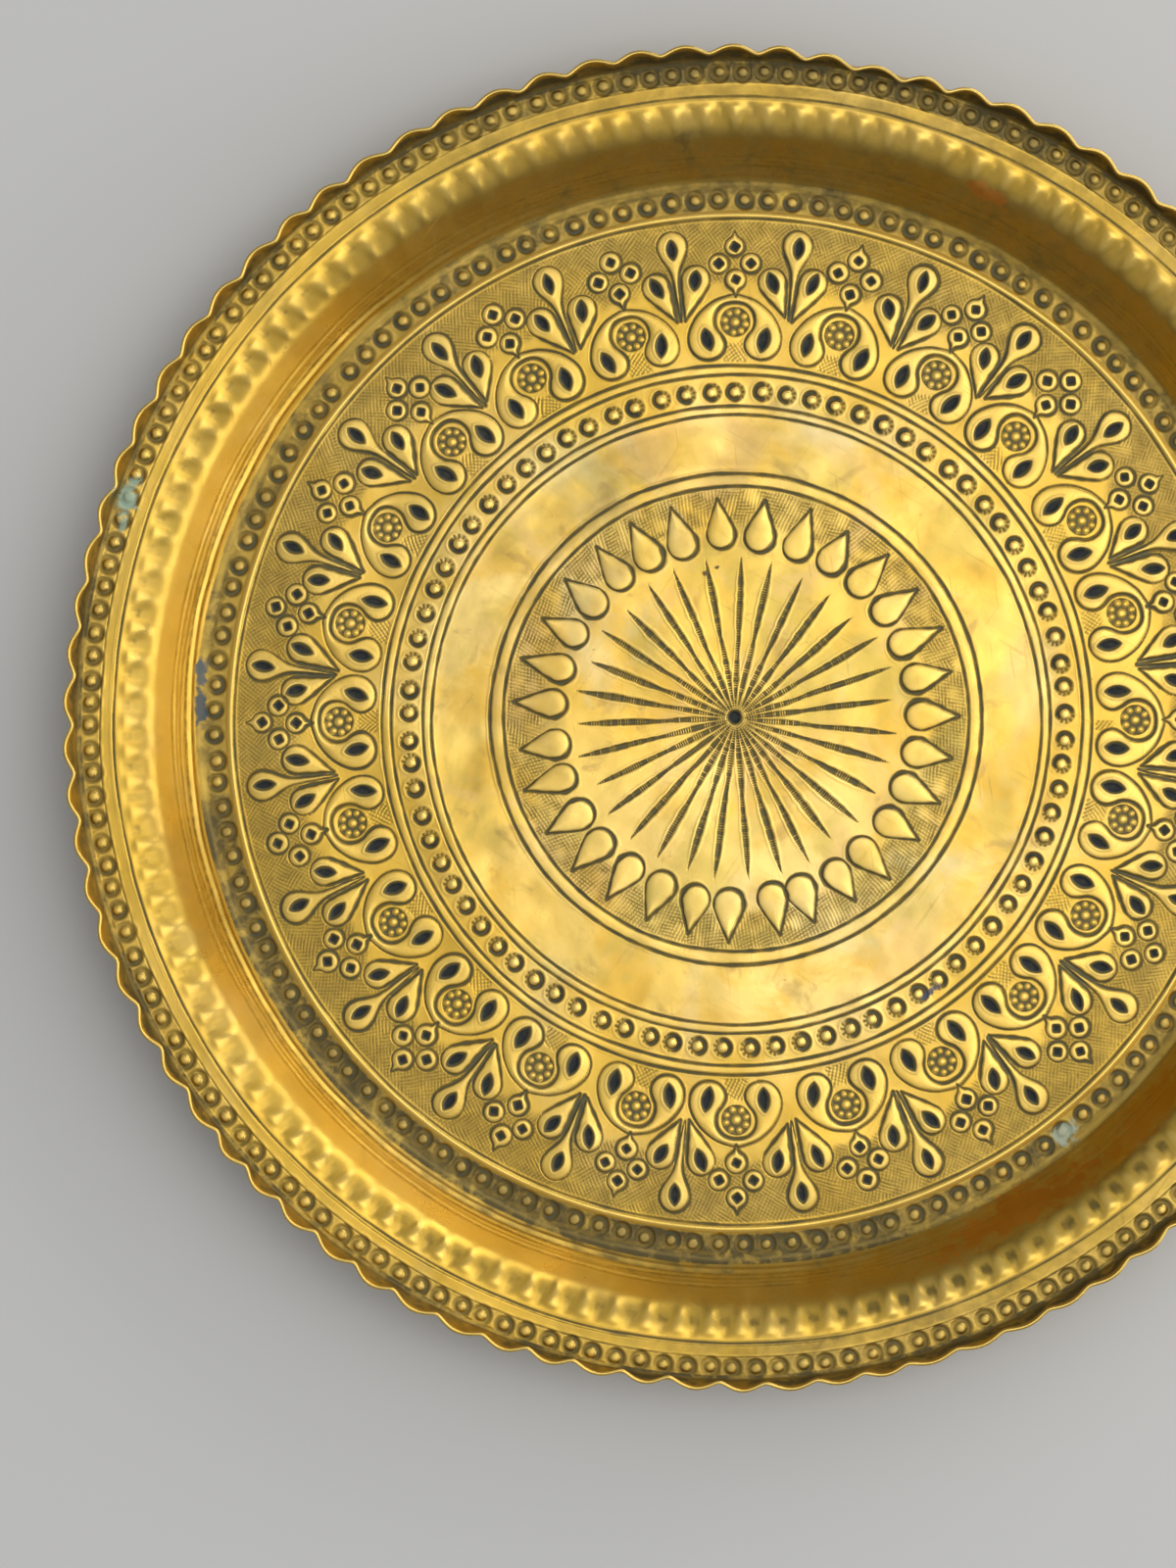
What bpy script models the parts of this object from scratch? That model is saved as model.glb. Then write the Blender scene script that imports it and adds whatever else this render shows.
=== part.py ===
"""Round brass serving tray, raised from one sheet of metal.

The tray is a single sheet: a flat round floor, a sloping wall, a narrow level
flange and a thin upright lip that is crimped into small scallops all the way
round.  Nothing is soldered, riveted or hinged on it, so it is one solid.

Frame: metres, +Z up, origin on the tray's axis at the level it stands on.
"""
import math

import bmesh
import bpy
from mathutils import Vector

# ---------------------------------------------------------------- dimensions
SHEET = 0.0009              # thickness of the brass sheet

FOOT_R = 0.1446             # where floor and wall would meet as sharp lines
FOOT_FILLET = 0.0050        # radius of the bend at the foot of the wall
WALL_ANGLE = math.radians(50.0)   # wall slope above the horizontal
FLANGE_Z = 0.0180           # upper face of the flange, at its inner edge
SHOULDER_FILLET = 0.0140    # radius of the easy bend from wall to flange
FLANGE_RISE = 0.0005        # the flange climbs this much towards the lip
LIP_BASE_R = 0.1751         # where flange and lip would meet as sharp lines

LIP_TOP_Z = 0.0250          # overall height of the tray
LIP_OUTER_R = 0.1780        # outermost point of the scallop crests
SCALLOPS = 86               # crimps in the lip
SCALLOP_DEPTH = 0.0022      # crest to trough, measured along the radius
CREST_ANGLE = math.radians(90.4)  # where one crest lies

SEG_BODY = SCALLOPS * 2     # facets round the floor, wall and flange
SEG_LIP = SCALLOPS * 4      # facets round the lip
FOOT_STEPS = 2              # facets across the bend at the foot
SHOULDER_STEPS = 4          # facets across the bend at the shoulder

BRASS_COLOR = (0.60, 0.40, 0.11, 1.0)
BRASS_ROUGHNESS = 0.32
BRASS_METALLIC = 1.0


# ------------------------------------------------------------------- helpers
def clear_scene():
    for obj in list(bpy.data.objects):
        bpy.data.objects.remove(obj, do_unlink=True)


def brass_material():
    mat = bpy.data.materials.new("brass")
    mat.use_nodes = True
    bsdf = mat.node_tree.nodes["Principled BSDF"]
    bsdf.inputs["Base Color"].default_value = BRASS_COLOR
    bsdf.inputs["Roughness"].default_value = BRASS_ROUGHNESS
    bsdf.inputs["Metallic"].default_value = BRASS_METALLIC
    return mat


def bend(corner, angle_in, angle_out, radius, steps):
    """Points of a circular bend that replaces a sharp corner of the profile.

    The profile arrives at the corner with slope angle_in and leaves with
    slope angle_out, both above the horizontal and running outwards.
    """
    turn = angle_out - angle_in
    reach = abs(radius * math.tan(turn / 2.0))
    side = 1.0 if turn > 0.0 else -1.0
    start = (corner[0] - reach * math.cos(angle_in),
             corner[1] - reach * math.sin(angle_in))
    centre = (start[0] - side * radius * math.sin(angle_in),
              start[1] + side * radius * math.cos(angle_in))
    points = []
    for k in range(steps + 1):
        a = angle_in + turn * k / steps
        points.append((centre[0] + side * radius * math.sin(a),
                       centre[1] - side * radius * math.cos(a)))
    return points


def upper_profile():
    """(r, z) of the upper face, from the edge of the flat floor to the lip's foot."""
    shoulder_r = FOOT_R + (FLANGE_Z - SHEET) / math.tan(WALL_ANGLE)
    rise = math.atan2(FLANGE_RISE, LIP_BASE_R - shoulder_r)
    foot = bend((FOOT_R, SHEET), 0.0, WALL_ANGLE, FOOT_FILLET, FOOT_STEPS)
    shoulder = bend((shoulder_r, FLANGE_Z), WALL_ANGLE, rise,
                    SHOULDER_FILLET, SHOULDER_STEPS)
    return foot + shoulder + [(LIP_BASE_R - 0.0010, FLANGE_Z + FLANGE_RISE * 0.9)]


def scallop(theta):
    """0 in a trough, 1 on a crest: round crests between tighter troughs."""
    half = 0.5 * SCALLOPS * (theta - CREST_ANGLE)
    return 0.55 * abs(math.cos(half)) + 0.45 * math.cos(half) ** 2


def lip_point(theta, t):
    """Inner face of the lip; t runs from 0 at its foot to 1 at the free edge."""
    z_foot = FLANGE_Z + FLANGE_RISE + 0.0003
    foot_r = LIP_BASE_R - 0.0001
    wall = SHEET * 1.05
    top_r = LIP_OUTER_R - wall - SCALLOP_DEPTH * (1.0 - scallop(theta))
    r = foot_r + (top_r - foot_r) * t ** 1.15
    z = z_foot + (LIP_TOP_Z - z_foot) * t
    return Vector((r * math.cos(theta), r * math.sin(theta), z))


def lip_normal(theta, t):
    d = 1e-4
    t0, t1 = max(0.0, t - d), min(1.0, t + d)
    along = lip_point(theta, t1) - lip_point(theta, t0)
    around = lip_point(theta + d, t) - lip_point(theta - d, t)
    n = around.cross(along)
    n.normalize()
    # outward and downward, away from the inside of the tray
    if n.x * math.cos(theta) + n.y * math.sin(theta) < 0.0:
        n.negate()
    return n


def offset_profile(points):
    """The lower face of the sheet: every profile point moved square to it."""
    out = []
    last = len(points) - 1
    for i, (r, z) in enumerate(points):
        if i == 0:
            nr, nz = 0.0, -1.0
        else:
            r0, z0 = points[i - 1]
            r1, z1 = points[min(i + 1, last)]
            if i == last:
                r0, z0 = points[i - 1]
                r1, z1 = points[i]
            length = math.hypot(r1 - r0, z1 - z0)
            nr, nz = (z1 - z0) / length, -(r1 - r0) / length
        out.append((r + SHEET * nr, z + SHEET * nz))
    return out


def ring(bm, points):
    return [bm.verts.new(p) for p in points]


def circle(r, z, count):
    return [Vector((r * math.cos(CREST_ANGLE + 2.0 * math.pi * k / count),
                    r * math.sin(CREST_ANGLE + 2.0 * math.pi * k / count), z))
            for k in range(count)]


def join_rings(bm, inner, outer, up):
    """Quads between two rings with the same count; up: faces look up and in."""
    n = len(inner)
    for k in range(n):
        a, b = inner[k], inner[(k + 1) % n]
        c, d = outer[(k + 1) % n], outer[k]
        bm.faces.new((a, d, c, b) if up else (a, b, c, d))


def step_rings(bm, inner, outer, up):
    """Three triangles per facet between a ring and one with twice its count."""
    n = len(inner)
    m = len(outer)
    for k in range(n):
        a, b = inner[k], inner[(k + 1) % n]
        c, d, e = outer[2 * k], outer[2 * k + 1], outer[(2 * k + 2) % m]
        for tri in ((a, c, d), (a, d, b), (b, d, e)):
            bm.faces.new(tri if up else tri[::-1])


# --------------------------------------------------------------------- model
def build_tray():
    bm = bmesh.new()
    angles = [CREST_ANGLE + 2.0 * math.pi * k / SEG_LIP for k in range(SEG_LIP)]
    lip_steps = (0.0, 0.5, 1.0)

    upper = upper_profile()
    lower = offset_profile(upper)

    faces_of_sheet = []
    for profile, up in ((upper, True), (lower, False)):
        rings = [ring(bm, circle(r, z, SEG_BODY)) for r, z in profile]
        floor = bm.faces.new(rings[0] if up else rings[0][::-1])
        floor.normal_update()
        for inner, outer in zip(rings, rings[1:]):
            join_rings(bm, inner, outer, up)
        lips = []
        for t in lip_steps:
            points = [lip_point(a, t) for a in angles]
            if not up:
                points = [p + SHEET * lip_normal(a, t)
                          for p, a in zip(points, angles)]
            lips.append(ring(bm, points))
        step_rings(bm, rings[-1], lips[0], up)
        for inner, outer in zip(lips, lips[1:]):
            join_rings(bm, inner, outer, up)
        faces_of_sheet.append(lips[-1])

    # the bare edge of the sheet, along the top of the lip
    join_rings(bm, faces_of_sheet[0], faces_of_sheet[1], True)

    bm.normal_update()
    mesh = bpy.data.meshes.new("tray_body")
    bm.to_mesh(mesh)
    bm.free()
    mesh.materials.append(brass_material())
    mesh.shade_smooth()
    mesh.set_sharp_from_angle(angle=math.radians(35.0))

    tray = bpy.data.objects.new("tray_body", mesh)
    bpy.context.scene.collection.objects.link(tray)
    return tray


clear_scene()
build_tray()
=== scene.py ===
"""Looks of the round hand-chased brass tray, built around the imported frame.

The one CAD node is replaced by one closed mesh of the same sheet, with every
line, punch, leaf, bead, flute and crimp cut into its surface.
All lengths in the mesh code are millimetres; the last step turns them into metres.
"""
import math

import bpy
import numpy as np
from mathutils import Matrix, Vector


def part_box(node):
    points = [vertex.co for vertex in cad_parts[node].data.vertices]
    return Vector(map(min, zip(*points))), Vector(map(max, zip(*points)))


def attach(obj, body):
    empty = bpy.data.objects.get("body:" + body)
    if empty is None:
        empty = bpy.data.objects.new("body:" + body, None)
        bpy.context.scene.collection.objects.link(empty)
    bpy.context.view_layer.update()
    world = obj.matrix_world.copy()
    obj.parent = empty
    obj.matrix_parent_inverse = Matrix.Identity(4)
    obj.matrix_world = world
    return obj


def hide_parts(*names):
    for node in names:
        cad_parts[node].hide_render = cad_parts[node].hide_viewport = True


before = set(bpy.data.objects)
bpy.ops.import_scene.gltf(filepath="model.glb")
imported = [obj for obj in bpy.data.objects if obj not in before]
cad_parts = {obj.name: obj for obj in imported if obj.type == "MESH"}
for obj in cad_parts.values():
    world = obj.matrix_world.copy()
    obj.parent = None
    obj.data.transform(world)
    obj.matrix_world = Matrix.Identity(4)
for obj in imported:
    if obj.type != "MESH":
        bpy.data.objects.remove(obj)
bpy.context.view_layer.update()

NODE_LOW, NODE_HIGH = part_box("tray_body")

TAU = 2.0 * math.pi
U = 0.263                     # layout unit of the ornament on the floor, mm
UF = 0.2598                   # the same unit up on the flange, mm

# ------------------------------------------------ sheet form, as in the CAD
SHEET = 0.9
FOOT_R = 144.6
FOOT_FILLET = 5.0
WALL_ANGLE = math.radians(50.0)
FLANGE_Z = 18.0
SHOULDER_FILLET = 14.0
FLANGE_RISE = 0.5
LIP_BASE_R = 175.1
LIP_TOP_Z = NODE_HIGH.z * 1000.0
LIP_OUTER_R = 178.0
SCALLOPS = 86
SCALLOP_DEPTH = 2.25
CREST_ANGLE = math.radians(90.4)


# --------------------------------------------------------------------- tools
def sstep(a, b, x):
    """0 at a, 1 at b, smooth in between; a may be the larger."""
    t = np.clip((x - a) / (b - a), 0.0, 1.0)
    return t * t * (3.0 - 2.0 * t)


def ring_noise(theta, knots, seed, amp=1.0):
    """A smooth closed random curve round the tray, within +-amp."""
    v = np.random.default_rng(seed).uniform(-1.0, 1.0, knots)
    x = (np.asarray(theta) / TAU) % 1.0 * knots
    i = np.floor(x).astype(int)
    f = x - i
    f = f * f * (3.0 - 2.0 * f)
    return amp * (v[i % knots] * (1.0 - f) + v[(i + 1) % knots] * f)


def around(theta, middle, half, soft=12.0):
    """1 within half degrees of the middle direction, 0 well outside it."""
    off = np.degrees(np.abs((theta - math.radians(middle) + math.pi) % TAU - math.pi))
    return sstep(half + soft, half - soft, off)


def make_field(seed, wavelength, spread=0.5, n=512, span=400.0):
    """A random height field over the tray with one dominant wavelength."""
    f = np.fft.fft2(np.random.default_rng(seed).standard_normal((n, n)))
    k = np.fft.fftfreq(n, span / n)
    kk = np.hypot(k[None, :], k[:, None])
    k0 = 1.0 / wavelength
    g = np.fft.ifft2(f * np.exp(-(((kk - k0) / (spread * k0)) ** 2))).real
    return g / g.std()


def sample(g, x, y, span=400.0):
    n = g.shape[0]
    u = (x / span + 0.5) * n
    v = (y / span + 0.5) * n
    i = np.floor(u).astype(int)
    j = np.floor(v).astype(int)
    fu, fv = u - i, v - j
    i0, i1, j0, j1 = i % n, (i + 1) % n, j % n, (j + 1) % n
    return ((g[j0, i0] * (1 - fu) + g[j0, i1] * fu) * (1 - fv)
            + (g[j1, i0] * (1 - fu) + g[j1, i1] * fu) * fv)


def drop_sd(x, y, r1, r2, h):
    """Distance to a drop: a circle r1 at the origin drawn out to r2 at (0, h)."""
    px = np.abs(x)
    b = (r1 - r2) / h
    a = math.sqrt(1.0 - b * b)
    k = -b * px + a * y
    side = a * px + b * y - r1
    return np.where(k < 0.0, np.hypot(px, y) - r1,
                    np.where(k > a * h, np.hypot(px, y - h) - r2, side))


def leaf_sd(x, y, a, b):
    """Distance to a pointed leaf of half-length a along y and half-width b."""
    rho = (a * a + b * b) / (2.0 * b)
    return np.hypot(np.abs(x) + rho - b, y) - rho


def square_sd(x, y, half, corner, turn):
    c, s = math.cos(turn), math.sin(turn)
    qx = np.abs(c * x + s * y) - (half - corner)
    qy = np.abs(-s * x + c * y) - (half - corner)
    return (np.hypot(np.maximum(qx, 0), np.maximum(qy, 0))
            + np.minimum(np.maximum(qx, qy), 0.0) - corner)


def catmull(points, steps=5, closed=True):
    """A smooth curve through given points."""
    p = np.asarray(points, float)
    n = len(p)
    out = []
    for i in range(n if closed else n - 1):
        if closed:
            a, b, c, d = p[(i - 1) % n], p[i], p[(i + 1) % n], p[(i + 2) % n]
        else:
            a, b, c, d = p[max(i - 1, 0)], p[i], p[i + 1], p[min(i + 2, n - 1)]
        for k in range(steps):
            t = k / steps
            out.append(0.5 * ((2 * b) + (c - a) * t + (2 * a - 5 * b + 4 * c - d) * t * t
                              + (3 * b - a - 3 * c + d) * t ** 3))
    if not closed:
        out.append(p[-1])
    return np.array(out)


def outline_sd(x, y, pts):
    """Signed distance to a closed outline, and how far along it the nearest point is."""
    shape = x.shape
    px, py = x.ravel(), y.ravel()
    best = np.full(px.shape, 1e18)
    where = np.zeros(px.shape)
    inside = np.zeros(px.shape, bool)
    q = np.roll(pts, -1, axis=0)
    n = len(pts)
    for i in range(n):
        ax, ay = pts[i]
        bx, by = q[i]
        ex, ey = bx - ax, by - ay
        ll = ex * ex + ey * ey + 1e-12
        wx, wy = px - ax, py - ay
        t = np.clip((wx * ex + wy * ey) / ll, 0.0, 1.0)
        d = (wx - t * ex) ** 2 + (wy - t * ey) ** 2
        closer = d < best
        best = np.where(closer, d, best)
        where = np.where(closer, (i + t) / n, where)
        if abs(ey) > 1e-12:
            crosses = (ay > py) != (by > py)
            inside ^= crosses & (px < ax + ex * (py - ay) / ey)
    d = np.sqrt(best)
    return (np.where(inside, -d, d).reshape(shape), where.reshape(shape))


# ---------------------------------------------------------- the polar surface
class Zone:
    """A band of the upper surface, sampled on rings, with what is cut into it."""

    def __init__(self, r0, r1, dr, n):
        k = max(1, int(round((r1 - r0) / dr)))
        self.r = r0 + (r1 - r0) * np.arange(k) / k
        self.n = n
        self.th = TAU * np.arange(n) / n
        self.R = np.repeat(self.r[:, None], n, axis=1)
        self.T = np.repeat(self.th[None, :], k, axis=0)
        self.X = self.R * np.cos(self.T)
        self.Y = self.R * np.sin(self.T)
        shape = (k, n)
        self.up = np.zeros(shape)       # pushed up, mm
        self.cut = np.zeros(shape)      # cut down, mm
        self.groove = np.zeros(shape)   # dark filling, and painted shade above the foot bead and low on the lip, 0 to 1
        self.soft = np.zeros(shape)     # thin tarnish, with painted shade on the wall, flange and lip, 0 to 1
        self.fill = np.zeros(shape)     # 1 inside a motif, where no hatching goes

    def window(self, r, th, half):
        """Indices of the points near (r, th), and their tangential and radial places."""
        i0 = np.searchsorted(self.r, r - half)
        i1 = np.searchsorted(self.r, r + half)
        if i1 <= i0:
            return None
        span = min(math.pi, half / max(r - half, 0.5))
        j0 = int(math.floor((th - span) / TAU * self.n))
        j1 = int(math.ceil((th + span) / TAU * self.n))
        jj = np.arange(j0, min(j1 + 1, j0 + self.n)) % self.n
        win = np.ix_(np.arange(i0, i1), jj)
        x, y = self.X[win], self.Y[win]
        c, s = math.cos(th), math.sin(th)
        return win, -x * s + y * c, x * c + y * s

    def stroke(self, win, d, w, depth, mask=1.0, burr=0.03):
        """A chased line: d is the distance from its middle and w its half-width."""
        q = d / w
        self.cut[win] = np.maximum(self.cut[win], depth * np.clip(1.0 - q * q, 0.0, None))
        self.groove[win] = np.maximum(self.groove[win], mask * sstep(1.45, 0.15, q))
        self.up[win] += burr * np.exp(-(((q - 1.6) / 0.4) ** 2))

    def ring(self, r, w, depth, mask=1.0, seed=0, burr=0.03, wob=0.12, arc=None):
        """A groove all the way round."""
        if r + w * 4 < self.r[0] or r - w * 4 > self.r[-1]:
            return
        mid = r + ring_noise(self.th, 41, seed, wob) + ring_noise(self.th, 170, seed + 1, wob * 0.3)
        ww = w * (1.0 + ring_noise(self.th, 150, seed + 2, 0.22))
        dd = depth * (1.0 + ring_noise(self.th, 90, seed + 3, 0.25))
        mm = np.clip(mask * (1.0 + ring_noise(self.th, 120, seed + 4, 0.25)), 0, 1)
        if arc is not None:
            there = around(self.th, *arc)
            dd, mm = dd * there, mm * there
        q = np.abs(self.R - mid[None, :]) / ww[None, :]
        self.cut = np.maximum(self.cut, dd[None, :] * np.clip(1.0 - q * q, 0.0, None))
        self.groove = np.maximum(self.groove, mm[None, :] * sstep(1.5, 0.15, q))
        self.up += burr * np.exp(-(((q - 1.6) / 0.4) ** 2))


ZONES = {
    "centre": Zone(0.25, 6.0, 0.22, 180),
    "rays_a": Zone(6.0, 10.0, 0.22, 360),
    "rays_b": Zone(10.0, 23.0, 0.22, 720),
    "rays_c": Zone(23.0, 44.0, 0.24, 1440),
    "petals": Zone(44.0, 67.4, 0.25, 1440),
    "plain": Zone(67.4, 80.4, 0.45, 1440),
    "inner_beads": Zone(80.4, 96.4, 0.25, 2880),
    "band": Zone(96.4, 134.6, 0.26, 2880),
    "outer_beads": Zone(134.6, 145.4, 0.28, 2880),
    "wall": Zone(145.4, 164.6, 0.33, 2880),
    "flange": Zone(164.6, 174.0, 0.27, 2880),
}
Z = ZONES
rng = np.random.default_rng(86)

# ---- ring lines: radius, half-width, depth, darkness
LINES = [
    (237.2 * U, 0.44, 0.24, 0.70, None),
    (250.7 * U, 0.46, 0.24, 0.70, None),
    (310.9 * U, 0.38, 0.20, 0.66, None),
    (320.1 * U, 0.38, 0.20, 0.66, None),
    (352.3 * U, 0.38, 0.20, 0.70, None),
    (361.9 * U, 0.40, 0.22, 0.70, None),
    (513.0 * U, 0.32, 0.20, 0.62, None),
    (148.9, 0.36, 0.08, 0.20, None),
    (149.8, 0.34, 0.06, 0.15, None),
    (150.9, 0.36, 0.08, 0.20, None),
    (165.4, 0.30, 0.15, 0.62, None),
    (166.1, 0.22, 0.08, 0.40, (255, 30)),
    (169.0, 0.24, 0.09, 0.48, None),
]
for n_line, (r, w, depth, mask, arc) in enumerate(LINES):
    for zone in Z.values():
        if zone.r[0] - 3.0 < r < zone.r[-1] + 3.0:
            zone.ring(r, w, depth, mask, seed=1000 + 10 * n_line,
                      wob=0.14 if r < 140 else 0.20, arc=arc)


def swell(zone, r, half, height):
    """A low rounded ridge all the way round."""
    q = (zone.R - r) / half
    zone.up += height * np.clip(1.0 - q * q, 0.0, None)


for zone in Z.values():
    swell(zone, 244.0 * U, 1.5, 0.10)
    swell(zone, 315.5 * U, 1.0, 0.08)
    swell(zone, 357.1 * U, 1.0, 0.08)
    swell(zone, 517.2 * U, 0.95, 0.34)

# ---- centre: the compass dent and the rays
PETAL_ANGLES = np.radians([
    1.0, 12.6, 24.2, 35.9, 47.5, 58.9, 70.3, 82.6, 94.7, 107.0, 118.4, 129.5, 141.1,
    152.4, 164.1, 175.2, 187.9, 198.9, 211.5, 222.4, 234.7, 245.7, 257.4, 267.7,
    281.4, 290.7, 302.8, 313.5, 326.1, 337.8, 349.4])
N_PETALS = len(PETAL_ANGLES)
next_petal = np.append(PETAL_ANGLES[1:], PETAL_ANGLES[0] + TAU)
RAY_ANGLES = 0.5 * (PETAL_ANGLES + next_petal) + rng.uniform(-0.008, 0.008, N_PETALS)


def ray(zone, angle, r_in, r_out, width, depth, shift, seed, peak=0.6, chatter=0.45):
    """One lens-shaped chisel cut along a radius, with the tool's small steps in it."""
    span = 3.0 / max(zone.r[0], 3.0)
    jj = np.arange(int((angle - span) / TAU * zone.n), int((angle + span) / TAU * zone.n) + 2) % zone.n
    win = np.ix_(np.arange(len(zone.r)), jj)
    x, y = zone.X[win], zone.Y[win]
    c, s = math.cos(angle), math.sin(angle)
    lx, ly = -x * s + y * c, x * c + y * s
    t = (ly - r_in) / (r_out - r_in)
    live = (t > 0) & (t < 1)
    tt = np.clip(t, 0, 1)
    shape = np.where(tt < peak, np.sin(0.5 * math.pi * tt / peak) ** 0.8,
                     np.clip(1.0 - ((tt - peak) / (1 - peak)) ** 2.2, 0, 1))
    wander = ring_noise(ly * 0.19 + seed, 23, seed, 0.12)
    w = np.maximum(width * shape * (1.0 + wander), 0.02)
    d = np.abs(lx - shift - 0.05 * np.sin(ly * 0.35 + seed))
    phase = TAU * ly / 0.66 + 1.4 * ring_noise(ly * 0.11, 9, seed + 3) + seed
    steps = 1.0 - (0.25 + chatter) * (0.5 + 0.5 * np.cos(phase)) * (0.45 + 0.55 * (ring_noise(ly * 0.4 + seed, 19, seed + 1) > -0.1))
    q = d / w
    on = live & (ly > 0)
    prof = np.where(on, np.clip(1.0 - q * q, 0, None) * depth * np.sqrt(shape), 0.0)
    zone.cut[win] = np.maximum(zone.cut[win], prof * steps)
    zone.groove[win] = np.maximum(
        zone.groove[win], np.where(on, 0.80 * sstep(1.4, 0.35, q) * steps * sstep(0.04, 0.16, w), 0.0))
    zone.up[win] += np.where(on, 0.04 * np.exp(-(((q - 1.5) / 0.4) ** 2)) * shape, 0.0)


for k, a in enumerate(RAY_ANGLES):
    seed = 300 + k
    r_end = (164.5 + rng.uniform(-7, 4)) * U
    r_break = rng.uniform(62, 88) * U
    wide = rng.uniform(0.76, 0.94)
    side = rng.uniform(-0.22, 0.22)
    lean = rng.uniform(-0.006, 0.006)
    inner_wide = rng.uniform(0.62, 0.82)
    r_in = rng.uniform(7, 13) * U
    for name in ("centre", "rays_a", "rays_b", "rays_c"):
        ray(Z[name], a + lean, r_break - 14.0 * U, r_end, wide, 0.36, 0.0, seed, peak=0.58)
        ray(Z[name], a - lean * 0.5, r_in, r_break + 20.0 * U, inner_wide, 0.26, side, seed + 50,
            peak=0.42, chatter=0.75)

zc = Z["centre"]
for name in ("centre", "rays_a"):
    zone = Z[name]
    ripple = 0.5 + 0.5 * np.cos(TAU * zone.R / 0.62 + 1.5 * ring_noise(zone.T, 19, 44))
    near = sstep(7.5, 3.5, zone.R)
    zone.cut += 0.05 * near * ripple
    zone.groove = np.maximum(zone.groove, 0.42 * near * ripple)
    zone.soft = np.maximum(zone.soft, 0.45 * near)
d = np.hypot(zc.X + 0.28, zc.Y - 0.42)
zc.cut = np.maximum(zc.cut, 0.62 * sstep(2.1, 1.0, d))
zc.groove = np.maximum(zc.groove, sstep(2.35, 1.35, d))
zc.up += 0.10 * np.exp(-(((d - 2.6) / 0.5) ** 2))


# ---- petals round the rays
def drop(zone, axis, centre, tip, radius, tip_radius=0.08, wide=0.44, depth=0.30, bias=0.0,
         mask=0.72, pillow=0.2, reach=None, round_end=1.0, tail_more=-0.35):
    """A chased drop outline: round at centre, pointed at tip, both (across, out) in mm."""
    mid = (0.5 * (centre[0] + tip[0]), 0.5 * (centre[1] + tip[1]))
    half = reach or (0.5 * math.hypot(tip[0] - centre[0], tip[1] - centre[1]) + radius + 2.5)
    got = zone.window(math.hypot(*mid), axis + math.atan2(mid[0], mid[1]), half)
    if got is None:
        return
    win, _, _ = got
    x, y = zone.X[win], zone.Y[win]
    c, s = math.cos(axis), math.sin(axis)
    lx, ly = -x * s + y * c - centre[0], x * c + y * s - centre[1]
    hx, hy = tip[0] - centre[0], tip[1] - centre[1]
    h = math.hypot(hx, hy)
    ux, uy = hx / h, hy / h
    along = lx * ux + ly * uy
    across = lx * uy - ly * ux
    bow = 1.0 + 0.10 * np.sin(np.clip(along / h, 0, 1) * math.pi)
    sd = drop_sd(across / bow, along, radius, tip_radius, h)
    w = wide * (1.0 + bias * np.clip(across / radius, -1, 1)) \
        * (1.0 + 0.16 * np.sin(along * 1.7 + radius * 40 + axis * 9))
    tail = np.clip(along / h, 0, 1)
    w = w * (round_end + (1.0 + tail_more - round_end) * np.sin(math.pi * np.clip(tail * 1.05 + 0.02, 0, 1)) ** 0.8
             * sstep(-0.2, 0.25, along / h) + (0.0 if round_end > 0.9 else 0.25 * sstep(0.75, 1.0, tail)))
    zone.stroke(win, np.abs(sd), w, depth, mask)
    inner = np.clip(-sd / (radius * 0.75), 0, 1)
    zone.up[win] = np.maximum(zone.up[win], pillow * np.sqrt(inner * (2 - inner)))
    zone.fill[win] = np.maximum(zone.fill[win], sstep(0.55, 0.25, sd))


for k, a in enumerate(PETAL_ANGLES):
    r_c = (187.0 + rng.uniform(-1.6, 1.6)) * U
    tip_r = (225.0 + rng.uniform(-3, 4)) * U
    drop(Z["petals"], a, (rng.uniform(-0.12, 0.12), r_c),
         (rng.uniform(-0.45, 0.45), tip_r), rng.uniform(14.3, 15.6) * U,
         wide=rng.uniform(0.43, 0.56), bias=rng.choice([-1, 1]) * rng.uniform(0.25, 0.55),
         pillow=0.26, depth=0.32, mask=rng.uniform(0.64, 0.78))


def hatch(zone, weight, sector_angles, pitch, half, depth, mask, seed, lean=(0.66, -0.80)):
    """Two crossing sets of fine chisel lines, turned a little in every sector."""
    r2 = np.random.default_rng(seed)
    n = len(sector_angles)
    angles = np.asarray(sector_angles)
    order = np.argsort(angles % TAU)
    mids = (angles % TAU)[order]
    edges = 0.5 * (mids + np.roll(mids, -1) + np.where(np.arange(n) == n - 1, TAU, 0.0))
    k = np.searchsorted(edges, zone.th) % n
    ax = mids[k]
    turn = r2.uniform(-0.22, 0.22, n)[k]
    off = r2.uniform(0, 1, n)[k]
    c, s = np.cos(ax)[None, :], np.sin(ax)[None, :]
    lx = -zone.X * s + zone.Y * c
    ly = zone.X * c + zone.Y * s
    rough = sample(FINE, zone.X, zone.Y)
    for m, a in enumerate(lean):
        ang = a + turn
        u = lx * np.cos(ang)[None, :] + ly * np.sin(ang)[None, :]
        u = u / pitch * (1.0 + 0.04 * m) + off[None, :] + 0.07 * rough
        d = np.abs(u - np.round(u)) * pitch
        bite = np.clip((0.92, 0.70)[m] + 0.28 * rough * (1 if m else -1), 0.2, 1.2)
        q = d / half
        zone.cut = np.maximum(zone.cut, weight * depth * bite * np.clip(1 - q * q, 0, None))
        zone.groove = np.maximum(zone.groove, weight * mask * np.clip(bite, 0, 1) * sstep(1.3, 0.3, q))


FINE = make_field(5, 7.0)
BROAD = make_field(6, 42.0)
MIDDLE = make_field(7, 17.0)

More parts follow.
